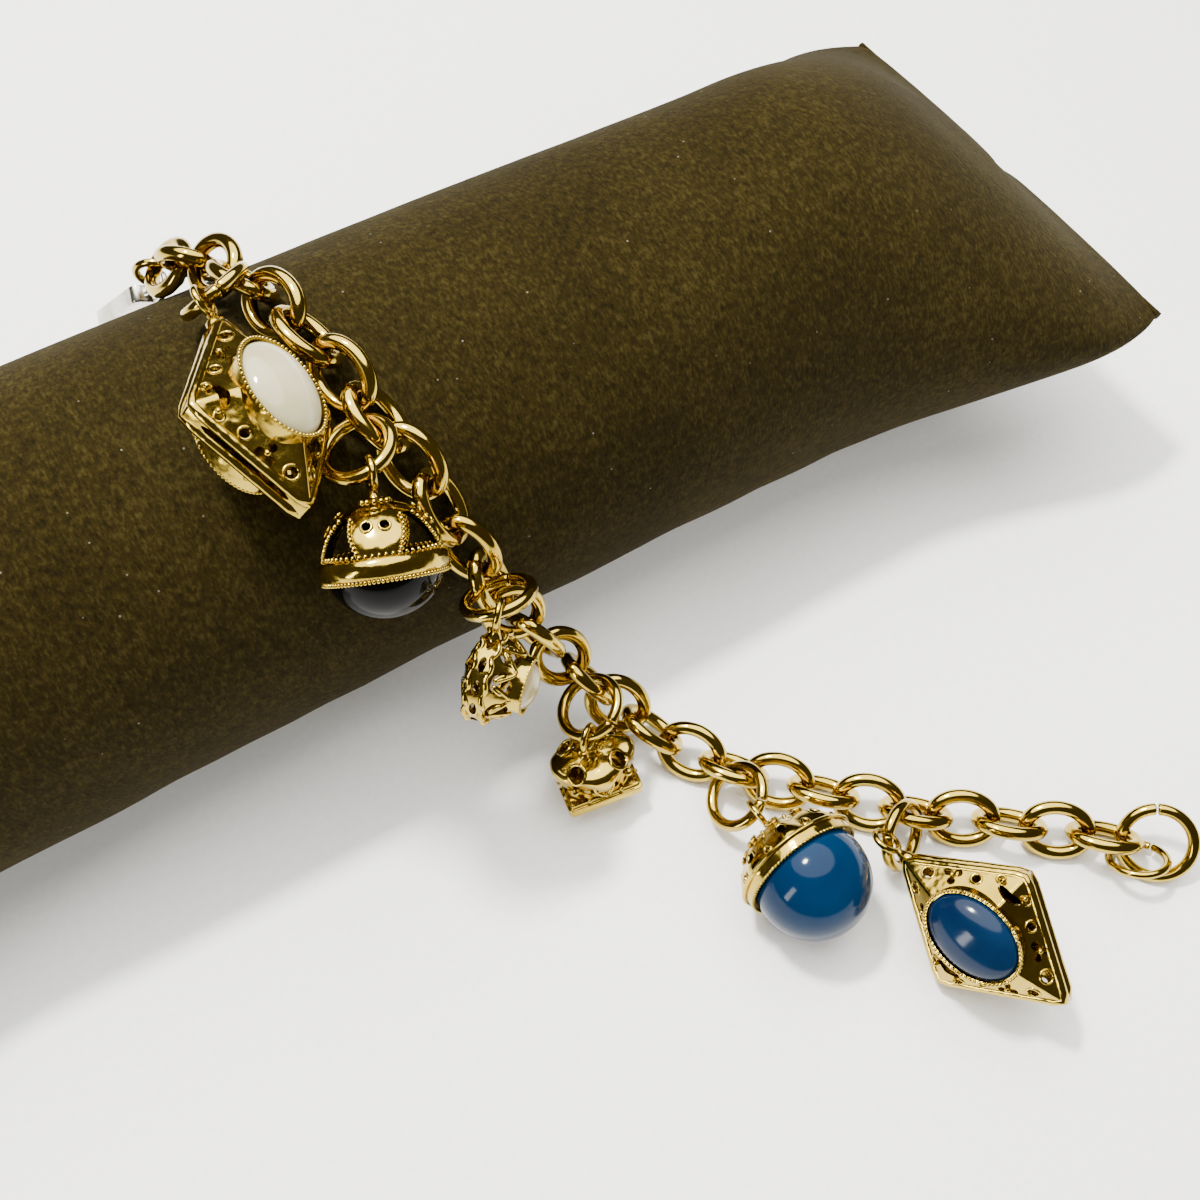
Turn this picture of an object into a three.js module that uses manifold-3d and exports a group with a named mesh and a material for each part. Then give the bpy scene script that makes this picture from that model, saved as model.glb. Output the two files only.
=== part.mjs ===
// A gold charm bracelet laid undone over a bolster display pillow. Millimetres, +Z up, the pillow
// along X, the free end of the chain in front of it, towards -Y.
import * as THREE from "three";
import { mergeVertices } from "three/addons/utils/BufferGeometryUtils.js";
import Module from "manifold-3d";

const wasm = await Module();
wasm.setup();

// Driving dimensions
const pillowGap = 0.3;
const tableGap = 0.05;
const setGap = 0.12;
const pillow = {
  leftEnd: -165, rightEnd: 79, halfWidth: 31.1, halfHeight: 29.6, sink: 2.4, seamWidth: 78,
    seamThickness: 2,
  taper: 50, flare: 55, swell: 3.4, sides: 24, sections: 15,
};
const link = { count: 28, length: 10.8, width: 8.8, wire: 2, play: 0.2, roll: 45, sides: 12, wireSides: 5 };
const ring = { outer: 10.4, wire: 1.7, cut: 0.3, play: 0.25, sides: 14, wireSides: 5 };
const endRing = { outer: 11.4, wire: 1.7, dip: -10, roll: -38 };
const smallRing = { outer: 8.8, wire: 1.1, slide: -156, out: [-66, 28], axle: [-1, 68] };
const claspRing = { outer: 7, wire: 1.1, swing: 7, dip: 60, roll: -31 };
const loop = { outer: 4.6, wire: 0.9, play: 0.3, neck: 0.8, neckTop: 0.5, neckFoot: 0.9, sink: 0.8,
  sides: 10, wireSides: 5 };
const clasp = {
  length: 14, width: 5, thickness: 2.4, corner: 1.2, slide: -28, up: [-53, 44], face: [57, 43],
    loopTurn: 81,
};
const lozenge = {
  halfLength: 13.6, halfWidth: 10, rim: 2.4, rise: 3.4, wall: 0.9, seat: 0.5, slotLength: 9,
    slotHeight: 1.2,
  stoneLength: 13, stoneWidth: 9.4, stoneHeight: 2.7, bezelWall: 0.45, bezelHeight: 1, bezelDrop: 2,
    hole: 1.6,
  holesAt: [0.2, 0.5, 0.8], holeRise: 0.3, crescentAt: 0.66, crescentWidth: 1, crescentLength: 3.4,
};
const blackFob = {
  radius: 7.7, band: 2.6, wall: 0.55, domeHeight: 6.2, crown: 2.1,
  petalWidth: 7.2, ledge: 1, stoneHeight: 6.4, hole: 1.2, sides: 18,
  holesAt: [{ side: -0.24, out: 0.85, up: 0.42 }, { side: 0.24, out: 0.85, up: 0.42 }, { side: 0,
    out: 0.6, up: 0.82 }],
};
const scroll = {
  radius: 5.9, band: 2.2, rise: 3.2, backRise: 1.6, wall: 0.7, stone: 6.4, stoneHeight: 2.1, bezelWall: 0.4,
  bezelHeight: 0.9, opening: 1.5, openingLength: 2.2, openings: 7, slots: 8, slot: 0.9, sides: 16,
};
const seal = {
  length: 11.2, width: 9.4, base: 2, corner: 0.8, step: 0.6, bulge: 0.06, domeHeight: 5.4, wall: 0.9,
  crown: 0.3,
  window: 2.4, windowOut: 0.56, windowUp: 0.8, hole: 1.2, holeUp: 0.42, sides: 16,
  profile: [{ out: 1, up: 0 }, { out: 1.14, up: 0.35 }, { out: 1.24, up: 0.68 }, { out: 1.06, up: 0.92 }],
};
const ball = {
  stone: 16, sunk: 2.6, stoneSteps: 5, bezelWall: 0.45, bezelHeight: 0.8, depth: 6.4, radius: 8,
  foot: 3.2, lobes: 8, lobeShare: 0.03, wall: 0.9,
  hole: 1.6, holesAt: [{ out: 0.92, down: 0.42 }, { out: 0.64, down: 0.82 }], sides: 24,
};
const stoneSides = 12;

// The chain's route, from the free end to the clasp. On the table a row gives its place along the pillow
// and how far out from its side, and on the pillow its angle round it, from the top towards the front.
const route = [
  { along: 25.6, out: 64.7 },
  { along: 15.4, out: 56.3 },
  { along: 5, out: 48.1 },
  { along: -4.4, out: 38.8 },
  { along: -13, out: 29.9 },
  { along: -18.6, out: 21.9, up: 0.4 },
  { along: -22.6, out: 15.4, up: 3.4 },
  { along: -26.4, out: 10.5, up: 9.4 },
  { along: -30.2, out: 7.1, up: 16.4 },
  { along: -33.8, out: 4.8, up: 25 },
  { along: -37.4, around: 66 },
  { along: -39.6, around: 45 },
  { along: -42.6, around: 22 },
  { along: -45.6, around: -1 },
  { along: -49.2, around: -24 },
  { along: -54, around: -47 },
];

// Which link carries each charm, where its ring hangs, and how the charm lies: up points from the charm to
// its loop and face the way its front looks, as compass angle and height in degrees.
const hangings = {
  whiteLozenge: { link: 25, shift: -1.8, swing: -57, turn: -55, slide: 57, up: [87, 11], face: [-42,
    38], loopTurn: 26 },
  blackFob: { link: 21, shift: -1.8, swing: -52, turn: -48, slide: 81, up: [69, 37], face: [-110, 45],
    loopTurn: -77 },
  scrollCharm: { link: 17, shift: 1.2, swing: 83, turn: -22, slide: -66, up: [39, 61], face: [-34, 23],
    loopTurn: 11 },
  sealFob: { link: 13, shift: -0.9, swing: -78, turn: -17, slide: 42, up: [90, 77], face: [-100, 25],
    loopTurn: 49 },
  blueBall: { link: 9, shift: -1.8, swing: -63, turn: -53, slide: 70, up: [92, -8], face: [-96, 44],
    loopTurn: 82 },
  blueLozenge: { link: 5, shift: 1.8, swing: -76, turn: 34, slide: 83, up: [102, -3], face: [172, 42],
    loopTurn: 85 },
};

const radians = THREE.MathUtils.degToRad;
const vec = (x, y, z) => new THREE.Vector3(x, y, z);
const axisZ = vec(0, 0, 1);
const pillowMiddle = pillow.halfHeight - pillow.sink;

// Materials
const gold = () => new THREE.MeshStandardMaterial({ color: 0xd8a53f, roughness: 0.16, metalness: 1 });
const silver = () => new THREE.MeshStandardMaterial({ color: 0xb8b4a6, roughness: 0.25, metalness: 1 });
const stone = (color) => new THREE.MeshStandardMaterial({ color, roughness: 0.12, metalness: 0 });
const suede = () => new THREE.MeshStandardMaterial({ color: 0x4a3f1c, roughness: 0.95, metalness: 0 });

// Solids
function solid(geometry) {
  const bare = geometry.clone();
  bare.deleteAttribute("normal");
  bare.deleteAttribute("uv");
  const merged = mergeVertices(bare, 1e-4);
  const corners = merged.index.array;
  const kept = [];
  for (let i = 0; i < corners.length; i += 3) {
    const [a, b, c] = [corners[i], corners[i + 1], corners[i + 2]];
    if (a !== b && b !== c && c !== a) kept.push(a, b, c);
  }
  return new wasm.Manifold(new wasm.Mesh({
    numProp: 3,
    vertProperties: new Float32Array(merged.attributes.position.array),
    triVerts: new Uint32Array(kept),
  }));
}

function join(geometries) {
  return geometries.map(solid).reduce((whole, next) => whole.add(next));
}

function cut(whole, geometries) {
  return geometries.map(solid).reduce((rest, next) => rest.subtract(next), whole);
}

function geometryOf(body) {
  const { vertProperties, triVerts } = body.getMesh();
  const geometry = new THREE.BufferGeometry();
  geometry.setAttribute("position", new THREE.BufferAttribute(vertProperties, 3));
  geometry.setIndex(new THREE.BufferAttribute(triVerts, 1));
  return geometry;
}

function piece(name, geometry, material) {
  const mesh = new THREE.Mesh(geometry, material);
  mesh.name = name;
  return mesh;
}

// Directions
function bearing([compass, height]) {
  return vec(1, 0, 0).applyAxisAngle(vec(0, -1, 0), radians(height)).applyAxisAngle(axisZ,
    radians(compass));
}

// The part of one direction that stands square to another.
function squareTo(kept, near) {
  return near.clone().addScaledVector(kept, -near.dot(kept)).normalize();
}

function placed(object, across, front, up, middle) {
  object.quaternion.setFromRotationMatrix(new THREE.Matrix4().makeBasis(across, front, up));
  object.position.copy(middle);
  return object;
}

// Shapes that turn about Y
function roundRing(outer, wire, sides, wireSides) {
  return new THREE.TorusGeometry((outer - wire) / 2, wire / 2, wireSides, sides).rotateX(Math.PI / 2);
}

function drum(length, width, bottom, top, sides) {
  return new THREE.CylinderGeometry(0.5, 0.5, top - bottom, sides)
    .scale(width, 1, length)
    .translate(0, (top + bottom) / 2, 0);
}

function lathed(profile, sides) {
  return new THREE.LatheGeometry(profile.map(([radius, height]) => new THREE.Vector2(radius, height)),
    sides);
}

// A quarter round from a rim to a crown, both given as radius and height.
function quarterRound(rim, crown, steps) {
  return Array.from({ length: steps + 1 }, (_, i) => {
    const angle = (i / steps) * Math.PI / 2;
    const radius = crown[0] + (rim[0] - crown[0]) * Math.cos(angle);
    return [radius, rim[1] + (crown[1] - rim[1]) * Math.sin(angle)];
  });
}

function cabochon(length, width, height, base) {
  const girdle = 0.12;
  const dome = quarterRound([0.5, girdle], [0, 1], 3);
  return lathed([[0, 0], [0.5, 0], ...dome], stoneSides).scale(width, height, length).translate(0, base, 0);
}

// A tool that cuts through a wall at a point: the way it goes in, and the way its long side lies.
function drill({ point, into, along, wide, long = wide, reach, sides = 5 }) {
  const front = into.clone().normalize();
  const up = squareTo(front, along);
  const tool = new THREE.CylinderGeometry(0.5, 0.5, reach, sides).scale(wide, 1, long);
  return tool.applyMatrix4(new THREE.Matrix4().makeBasis(front.clone().cross(up), front,
    up).setPosition(point));
}

// A charm's loop round the origin and the neck down to its body.
const bodyTop = -(loop.outer / 2 + loop.neck);
function loopAndNeck(turn) {
  const top = -(loop.outer - loop.wire) / 2;
  const foot = bodyTop - loop.sink;
  return [
    roundRing(loop.outer, loop.wire, loop.sides, loop.wireSides).rotateZ(radians(turn)),
    new THREE.CylinderGeometry(loop.neckTop, loop.neckFoot, top - foot, 8)
      .rotateX(Math.PI / 2)
      .translate(0, 0, (top + foot) / 2),
  ];
}

// The pillow: a round bolster whose ends close to flat seams, flat where it rests.
function pillowGeometry() {
  const tube = new THREE.CylinderGeometry(1, 1, 1, pillow.sides, pillow.sections).rotateZ(-Math.PI / 2);
  const at = tube.attributes.position;
  const span = pillow.rightEnd - pillow.leftEnd;
  for (let i = 0; i < at.count; i += 1) {
    const share = (1 - Math.cos((at.getX(i) + 0.5) * Math.PI)) / 2;
    const fromEnd = Math.min(share, 1 - share) * span;
    const fill = Math.sin(Math.min(fromEnd / pillow.taper, 1) * Math.PI / 2);
    const close = Math.min(fromEnd / pillow.flare, 1);
    const narrow = close * close * (3 - 2 * close);
    const halfWidth = THREE.MathUtils.lerp(pillow.seamWidth / 2, pillow.halfWidth, narrow)
      + pillow.swell * Math.sin(Math.PI * Math.sqrt(close)) ** 2;
    const halfHeight = THREE.MathUtils.lerp(pillow.seamThickness / 2, pillow.halfHeight, fill);
    const height = Math.max(0, pillowMiddle + halfHeight * at.getZ(i));
    at.setXYZ(i, pillow.leftEnd + share * span, halfWidth * at.getY(i), height);
  }
  return geometryOf(solid(tube));
}

// Chain
const linkReach = (link.width - link.wire) / 2;
const linkHalf = (link.length - link.wire) / 2;
const chainLift = linkReach * Math.sin(radians(link.roll)) + link.wire / 2;
const pitch = link.length - 2 * link.wire - link.play;

function routePoint({ along, out, up = 0, around }) {
  if (around === undefined) {
    return { point: vec(along, -(pillow.halfWidth + out), chainLift + tableGap + up),
      above: axisZ.clone() };
  }
  const angle = radians(around);
  const stand = chainLift + pillowGap;
  const point = vec(
    along,
    -(pillow.halfWidth + stand) * Math.sin(angle),
    pillowMiddle + (pillow.halfHeight + stand) * Math.cos(angle),
  );
  return { point, above: vec(0, -Math.sin(angle), Math.cos(angle)) };
}

const routePoints = route.map(routePoint);
const chainLine = new THREE.CatmullRomCurve3(routePoints.map(({ point }) => point), false, "centripetal");
const upperLine = new THREE.CatmullRomCurve3(
  routePoints.map(({ point, above }) => point.clone().addScaledVector(above, link.length)),
  false,
  "centripetal",
);
chainLine.arcLengthDivisions = 600;
const chainLength = chainLine.getLength();

// Each link's middle, the way the chain runs there, and the way the link's face and width lie.
function linkPlace(number) {
  const share = chainLine.getUtoTmapping(Math.min(((number - 1) * pitch) / chainLength, 1));
  const middle = chainLine.getPoint(share);
  const run = chainLine.getTangent(share);
  const above = squareTo(run, upperLine.getPoint(share).sub(middle));
  const face = above.clone().applyAxisAngle(run, radians(number % 2 === 0 ? -link.roll : link.roll));
  return { middle, run, above, face, across: face.clone().cross(run) };
}

function linkGeometry() {
  const torus = new THREE.TorusGeometry(link.length, link.wire / 2, link.wireSides, link.sides);
  const at = torus.attributes.position;
  for (let i = 0; i < at.count; i += 1) {
    const angle = Math.atan2(at.getY(i), at.getX(i));
    const out = Math.hypot(at.getX(i), at.getY(i)) - link.length;
    const slope = vec(linkReach * Math.cos(angle), linkHalf * Math.sin(angle), 0).normalize();
    at.setXY(i, linkHalf * Math.cos(angle) + out * slope.x, linkReach * Math.sin(angle) + out * slope.y);
  }
  return torus;
}

function chain() {
  return Array.from({ length: link.count }, (_, i) => {
    const { middle, run, face, across } = linkPlace(i + 1);
    const mesh = piece(`chain_link_${String(i + 1).padStart(2, "0")}`, linkGeometry(), gold());
    return placed(mesh, run, across, face, middle);
  });
}

// Rings
function jumpRing({ outer, wire }) {
  const whole = solid(roundRing(outer, wire, ring.sides, ring.wireSides));
  const slit = new THREE.BoxGeometry(2 * wire, 2 * wire, ring.cut).translate((outer - wire) / 2, 0, 0);
  return geometryOf(cut(whole, [slit]));
}

// A ring that lies round a wire: the way it reaches out from the wire and the way its own axle points.
function threaded(name, size, material, { wireMiddle, wire, out, axle }) {
  const reach = size.outer / 2 - size.wire - wire / 2 - ring.play;
  const middle = wireMiddle.clone().addScaledVector(out, reach);
  const across = axle.clone().cross(out);
  return placed(piece(name, jumpRing(size), material), across, axle, out, middle);
}

// The middle of a ring's wire, at an angle round its axle from the side that reaches out.
function ringWire(mesh, size, angle) {
  const out = vec(0, 0, (size.outer - size.wire) / 2).applyAxisAngle(vec(0, 1, 0), radians(angle));
  return out.applyQuaternion(mesh.quaternion).add(mesh.position);
}

// A charm and its ring: the ring lies round one side of its link and through the charm's loop.
function hang(name, ringName, place, pieces) {
  const { middle, run, across } = linkPlace(place.link);
  const out = across.clone().applyAxisAngle(run, radians(place.swing));
  const mesh = threaded(ringName, ring, gold(), {
    wireMiddle: middle.clone().addScaledVector(across, linkReach).addScaledVector(run, place.shift),
    wire: link.wire,
    out,
    axle: run.clone().applyAxisAngle(out, radians(place.turn)),
  });
  const held = ringWire(mesh, { outer: ring.outer + 2 * loop.play, wire: ring.wire }, place.slide);
  const up = bearing(place.up);
  const front = squareTo(up, bearing(place.face));
  const group = placed(new THREE.Group(), front.clone().cross(up), front, up, held);
  group.name = name;
  group.add(...pieces);
  return [mesh, group];
}

// Lozenge lantern: two pierced pyramids on a slotted rim, an oval stone on each.
function lozengeBody(scale, rise, top) {
  const rim = new THREE.CylinderGeometry(scale, scale, lozenge.rim, 4);
  const face = new THREE.CylinderGeometry(top, scale, rise, 4).translate(0, (lozenge.rim + rise) / 2, 0);
  return join([rim, face, face.clone().rotateX(Math.PI)]).scale([lozenge.halfWidth, 1, lozenge.halfLength]);
}

function lozengeHoles() {
  const { halfLength, halfWidth, rim, rise, seat } = lozenge;
  const tools = [];
  for (const x of [-1, 1]) {
    tools.push(drill({
      point: vec(x * halfWidth * lozenge.crescentAt, 0, 0), into: vec(0, 1, 0), along: axisZ,
      wide: lozenge.crescentWidth, long: lozenge.crescentLength, reach: 2 * rim + 2 * rise,
    }));
    for (const z of [-1, 1]) {
      const edge = vec(x * halfWidth, 0, -z * halfLength);
      const flank = vec(x / halfWidth, 0, z / halfLength).normalize();
      tools.push(drill({
        point: vec(x * halfWidth / 2, 0, z * halfLength / 2), into: flank, along: edge,
        wide: lozenge.slotHeight, long: lozenge.slotLength, reach: 2 * rim, sides: 8,
      }));
      for (const y of [-1, 1]) {
        const rest = halfLength * halfWidth * (1 - seat) / edge.length();
        const into = flank.clone().multiplyScalar(rise).add(vec(0, y * rest, 0));
        for (const share of lozenge.holesAt) {
          const shrink = 1 - (1 - seat) * lozenge.holeRise;
          const point = vec(x * share * halfWidth, 0, z * (1 - share) * halfLength).multiplyScalar(shrink);
          point.y = y * (rim / 2 + rise * lozenge.holeRise);
          tools.push(drill({ point, into, along: edge, wide: lozenge.hole, reach: 3 * lozenge.wall }));
        }
      }
    }
  }
  return tools;
}

function lozengePieces(name, color, loopTurn) {
  const { halfLength, halfWidth, rim, rise, wall, seat, stoneLength, stoneWidth, stoneHeight } = lozenge;
  const inset = 1 - wall * Math.hypot(halfLength, halfWidth) / (halfLength * halfWidth);
  const hollow = lozengeBody(inset, rise - wall, inset - (1 - seat) * (rise - wall) / rise);
  const seatAt = rim / 2 + rise;
  const rimAt = seatAt + lozenge.bezelHeight;
  const spread = 2 * setGap;
  const thick = spread + 2 * lozenge.bezelWall;
  const setting = drum(stoneLength + thick, stoneWidth + thick, seatAt - lozenge.bezelDrop, rimAt,
    stoneSides);
  const pocket = drum(stoneLength + spread, stoneWidth + spread, seatAt, rimAt + wall, stoneSides);
  const shell = cut(lozengeBody(1, rise, seat).subtract(hollow), lozengeHoles());
  const body = cut(shell.add(join([setting, setting.clone().rotateX(Math.PI)])), [pocket,
    pocket.clone().rotateX(Math.PI)]);
  const whole = body.translate([0, 0, bodyTop - halfLength]).add(join(loopAndNeck(loopTurn)));
  const gem = cabochon(stoneLength, stoneWidth, stoneHeight, seatAt + setGap).translate(0, 0,
    bodyTop - halfLength);
  const backGem = cabochon(stoneLength, stoneWidth, stoneHeight, seatAt + setGap).rotateX(Math.PI)
    .translate(0, 0, bodyTop - halfLength);
  return [
    piece(`${name}_case`, geometryOf(whole), gold()),
    piece(`${name}_stone`, gem, stone(color)),
    piece(`${name}_back_stone`, backGem, stone(color)),
  ];
}

// Black fob: a pierced dome cage over a plain band, the black stone a high dome below.
function blackFobPieces(loopTurn) {
  const { radius, band, wall, domeHeight, crown, petalWidth, ledge, stoneHeight, hole } = blackFob;
  const bandTop = bodyTop - domeHeight;
  const stoneTop = bandTop - ledge;
  const outerDome = lathed([[0, -ledge / 2], [radius - wall / 2, -ledge / 2],
    ...quarterRound([radius - wall / 2, 0], [crown, domeHeight], 4), [0, domeHeight]],
    blackFob.sides);
  const innerDome = lathed([[0, -ledge], [radius - 2 * wall, -ledge],
    ...quarterRound([radius - 2 * wall, 0], [crown - wall, domeHeight - wall], 4), [0, domeHeight - wall]],
    blackFob.sides);
  const cross = [0, Math.PI / 2].map((turn) => new THREE.BoxGeometry(petalWidth, 4 * domeHeight,
    3 * radius).rotateY(turn));
  const tools = [];
  for (let quarter = 0; quarter < 4; quarter += 1) {
    const spin = quarter * Math.PI / 2;
    for (const { side, out, up } of blackFob.holesAt) {
      const point = vec(side * petalWidth, up * domeHeight, out * radius).applyAxisAngle(vec(0, 1, 0),
        spin);
      const into = vec(0, up, out).applyAxisAngle(vec(0, 1, 0), spin);
      tools.push(drill({ point, into, along: vec(0, 1, 0), wide: hole, reach: 4 * wall }));
    }
  }
  const cage = cut(cut(solid(outerDome), [innerDome]).intersect(join(cross)), tools);
  const rim = lathed([
    [radius - 2 * wall - ledge / 2, -ledge], [radius - wall, -ledge], [radius - wall, -band], [radius,
      -band],
    [radius, 0], [radius - 2 * wall - ledge / 2, 0], [radius - 2 * wall - ledge / 2, -ledge],
  ], blackFob.sides);
  const whole = cage.add(solid(rim)).rotate([90, 0, 0]).translate([0, 0,
    bandTop]).add(join(loopAndNeck(loopTurn)));
  const span = 2 * (radius - wall - setGap);
  const gem = cabochon(span, span, stoneHeight, 0).rotateX(-Math.PI / 2).translate(0, 0, stoneTop - setGap);
  return [piece("black_fob_cage", geometryOf(whole), gold()), piece("black_fob_stone", gem,
    stone(0x050505))];
}

// Scroll charm: a round lantern with a slotted band, an open scroll cone and a small pale stone.
function scrollPieces(loopTurn) {
  const { radius, band, rise, wall, bezelWall, bezelHeight, sides } = scroll;
  const bezelOuter = scroll.stone / 2 + setGap + bezelWall;
  const seatAt = band / 2 + rise;
  const outer = lathed([
    [0, -band / 2 - scroll.backRise], [bezelOuter, -band / 2 - scroll.backRise], [radius, -band / 2],
      [radius, band / 2],
    [bezelOuter, seatAt], [bezelOuter, seatAt + bezelHeight], [0, seatAt + bezelHeight],
  ], sides);
  const inner = lathed([
    [0, wall - band / 2 - scroll.backRise], [bezelOuter - wall, wall - band / 2 - scroll.backRise],
    [radius - wall, -band / 2], [radius - wall, band / 2], [bezelOuter - wall, seatAt - wall], [0,
      seatAt - wall],
  ], sides);
  const pocket = drum(scroll.stone + 2 * setGap, scroll.stone + 2 * setGap, seatAt,
    seatAt + 2 * bezelHeight, stoneSides);
  const tools = [pocket];
  for (let i = 0; i < scroll.openings; i += 1) {
    const spin = (i + 0.5) / scroll.openings * 2 * Math.PI;
    const point = vec(0, (seatAt + band / 2) / 2, (bezelOuter + radius) / 2).applyAxisAngle(vec(0, 1,
      0), spin);
    const into = vec(0, radius - bezelOuter, rise).applyAxisAngle(vec(0, 1, 0), spin);
    tools.push(drill({ point, into, along: vec(0, 1, 0), wide: scroll.opening,
      long: scroll.openingLength, reach: 4 * wall }));
  }
  for (let i = 0; i < scroll.slots; i += 1) {
    const spin = (i + 0.5) / scroll.slots * 2 * Math.PI;
    const into = vec(0, 0, 1).applyAxisAngle(vec(0, 1, 0), spin);
    const point = into.clone().multiplyScalar(radius);
    tools.push(drill({ point, into, along: vec(0, 1, 0), wide: scroll.slot, reach: 4 * wall }));
  }
  const whole = cut(cut(solid(outer), [inner]), tools).translate([0, 0,
    bodyTop - radius]).add(join(loopAndNeck(loopTurn)));
  const gem = cabochon(scroll.stone, scroll.stone, scroll.stoneHeight, seatAt + setGap).translate(0, 0,
    bodyTop - radius);
  return [piece("scroll_case", geometryOf(whole), gold()), piece("scroll_stone", gem, stone(0xd9cfae))];
}

// Seal fob: a pierced crown of four petals that opens upwards from a rectangular base.
function petalDome(halfLength, halfWidth, height, crown) {
  const side = seal.profile.map(({ out, up }) => [out, up * height]);
  const dome = lathed([[0, 0], ...side, [crown, height], [0, height]], seal.sides);
  const at = dome.attributes.position;
  for (let i = 0; i < at.count; i += 1) {
    const angle = Math.atan2(at.getZ(i), at.getX(i));
    const swell = 1 + seal.bulge * Math.cos(4 * angle) * Math.sin(Math.PI * at.getY(i) / height);
    at.setXYZ(i, at.getX(i) * halfLength * swell, at.getY(i), at.getZ(i) * halfWidth * swell);
  }
  return dome;
}

function sealPieces(loopTurn) {
  const { length, width, base, corner, domeHeight, wall, crown, window: opening, hole } = seal;
  const halfLength = length / 2 - seal.step;
  const halfWidth = width / 2 - seal.step;
  const outline = new THREE.Shape()
    .moveTo(corner - length / 2, -width / 2)
    .lineTo(length / 2 - corner, -width / 2)
    .lineTo(length / 2, corner - width / 2)
    .lineTo(length / 2, width / 2 - corner)
    .lineTo(length / 2 - corner, width / 2)
    .lineTo(corner - length / 2, width / 2)
    .lineTo(-length / 2, width / 2 - corner)
    .lineTo(-length / 2, corner - width / 2);
  const plate = new THREE.ExtrudeGeometry(outline, { depth: base, bevelEnabled: false })
    .rotateX(-Math.PI / 2)
    .translate(0, -base, 0);
  const tools = [petalDome(halfLength - wall, halfWidth - wall, domeHeight - wall, crown)];
  for (const x of [-1, 1]) {
    for (const z of [-1, 1]) {
      const into = vec(x * halfLength, domeHeight, z * halfWidth);
      const point = vec(x * halfLength * seal.windowOut, domeHeight * seal.windowUp,
        z * halfWidth * seal.windowOut);
      tools.push(drill({ point, into, along: vec(0, 1, 0), wide: opening, reach: 5 * wall, sides: 8 }));
    }
  }
  for (const [x, z] of [[1, 0], [-1, 0], [0, 1], [0, -1]]) {
    for (const share of [-1, 1]) {
      const point = vec(x * halfLength + z * share * hole, domeHeight * seal.holeUp,
        z * halfWidth + x * share * hole);
      tools.push(drill({ point, into: vec(x, 0.3, z), along: vec(0, 1, 0), wide: hole, reach: 4 * wall }));
    }
  }
  const dome = cut(solid(petalDome(halfLength, halfWidth, domeHeight, crown)), tools);
  const whole = dome.add(solid(plate)).rotate([90, 0, 0]).translate([0, 0, bodyTop - domeHeight]);
  return [piece("seal_fob", geometryOf(whole.add(join(loopAndNeck(loopTurn)))), gold())];
}

// Blue ball: a ball of stone held in a bezel under a lobed, pierced cap.
function lobedBowl(radius, depth, foot) {
  const bowl = lathed([[0, -depth], ...quarterRound([radius, 0], [foot, -depth], 3).reverse(), [0, 0]],
    ball.sides);
  const at = bowl.attributes.position;
  for (let i = 0; i < at.count; i += 1) {
    const angle = Math.atan2(at.getZ(i), at.getX(i));
    const swell = 1 + ball.lobeShare * Math.cos(ball.lobes * angle);
    at.setXYZ(i, at.getX(i) * swell, at.getY(i), at.getZ(i) * swell);
  }
  return bowl;
}

function ballPieces(loopTurn) {
  const { bezelWall, bezelHeight, depth, radius, wall, foot, lobes, hole, sunk } = ball;
  const stoneRadius = ball.stone / 2;
  const seatTurn = Math.asin(sunk / stoneRadius);
  const sphere = Array.from({ length: ball.stoneSteps }, (_, i) => {
    const angle = (i / ball.stoneSteps) * (Math.PI / 2 + seatTurn) - seatTurn;
    return [stoneRadius * Math.cos(angle), sunk + stoneRadius * Math.sin(angle)];
  });
  const pocketWidth = 2 * (Math.sqrt(stoneRadius ** 2 - (sunk - bezelHeight) ** 2) + setGap);
  const settingWidth = pocketWidth + 2 * bezelWall;
  const setting = drum(settingWidth, settingWidth, -wall, bezelHeight, ball.sides);
  const pocket = drum(pocketWidth, pocketWidth, 0, 2 * bezelHeight, ball.sides);
  const inside = lobedBowl(radius - wall, depth - 2 * wall, foot - wall).translate(0, -wall, 0);
  const tools = [pocket];
  for (let i = 0; i < lobes; i += 1) {
    const spin = (i / lobes) * 2 * Math.PI;
    for (const { out, down } of ball.holesAt) {
      const point = vec(0, -down * depth, out * radius).applyAxisAngle(vec(0, 1, 0), spin);
      tools.push(drill({ point, into: point, along: vec(0, 1, 0), wide: hole, reach: 4 * wall }));
    }
  }
  const seatAt = bodyTop - depth;
  const cap = cut(solid(lobedBowl(radius, depth, foot)).add(solid(setting)).subtract(solid(inside)), tools);
  const whole = cap.rotate([-90, 0, 0]).translate([0, 0, seatAt]).add(join(loopAndNeck(loopTurn)));
  const gem = lathed([[0, 0], ...sphere, [0, sunk + stoneRadius]], stoneSides)
    .rotateX(-Math.PI / 2)
    .translate(0, 0, seatAt - setGap);
  return [piece("blue_ball_case", geometryOf(whole), gold()),
    piece("blue_ball_stone", gem, stone(0x0f4a60))];
}

// The two rings on the free end
function freeEnd() {
  const { middle, run, above } = linkPlace(1);
  const sideways = run.clone().cross(above);
  const out = run.clone().negate().applyAxisAngle(sideways, radians(endRing.dip));
  const first = threaded("end_ring", endRing, gold(), {
    wireMiddle: middle.clone().addScaledVector(run, -linkHalf),
    wire: link.wire,
    out,
    axle: squareTo(out, above.clone().applyAxisAngle(run, radians(endRing.roll))),
  });
  const smallOut = bearing(smallRing.out);
  const second = threaded("end_ring_small", smallRing, gold(), {
    wireMiddle: ringWire(first, endRing, smallRing.slide),
    wire: endRing.wire,
    out: smallOut,
    axle: squareTo(smallOut, bearing(smallRing.axle)),
  });
  return [first, second];
}

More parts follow.
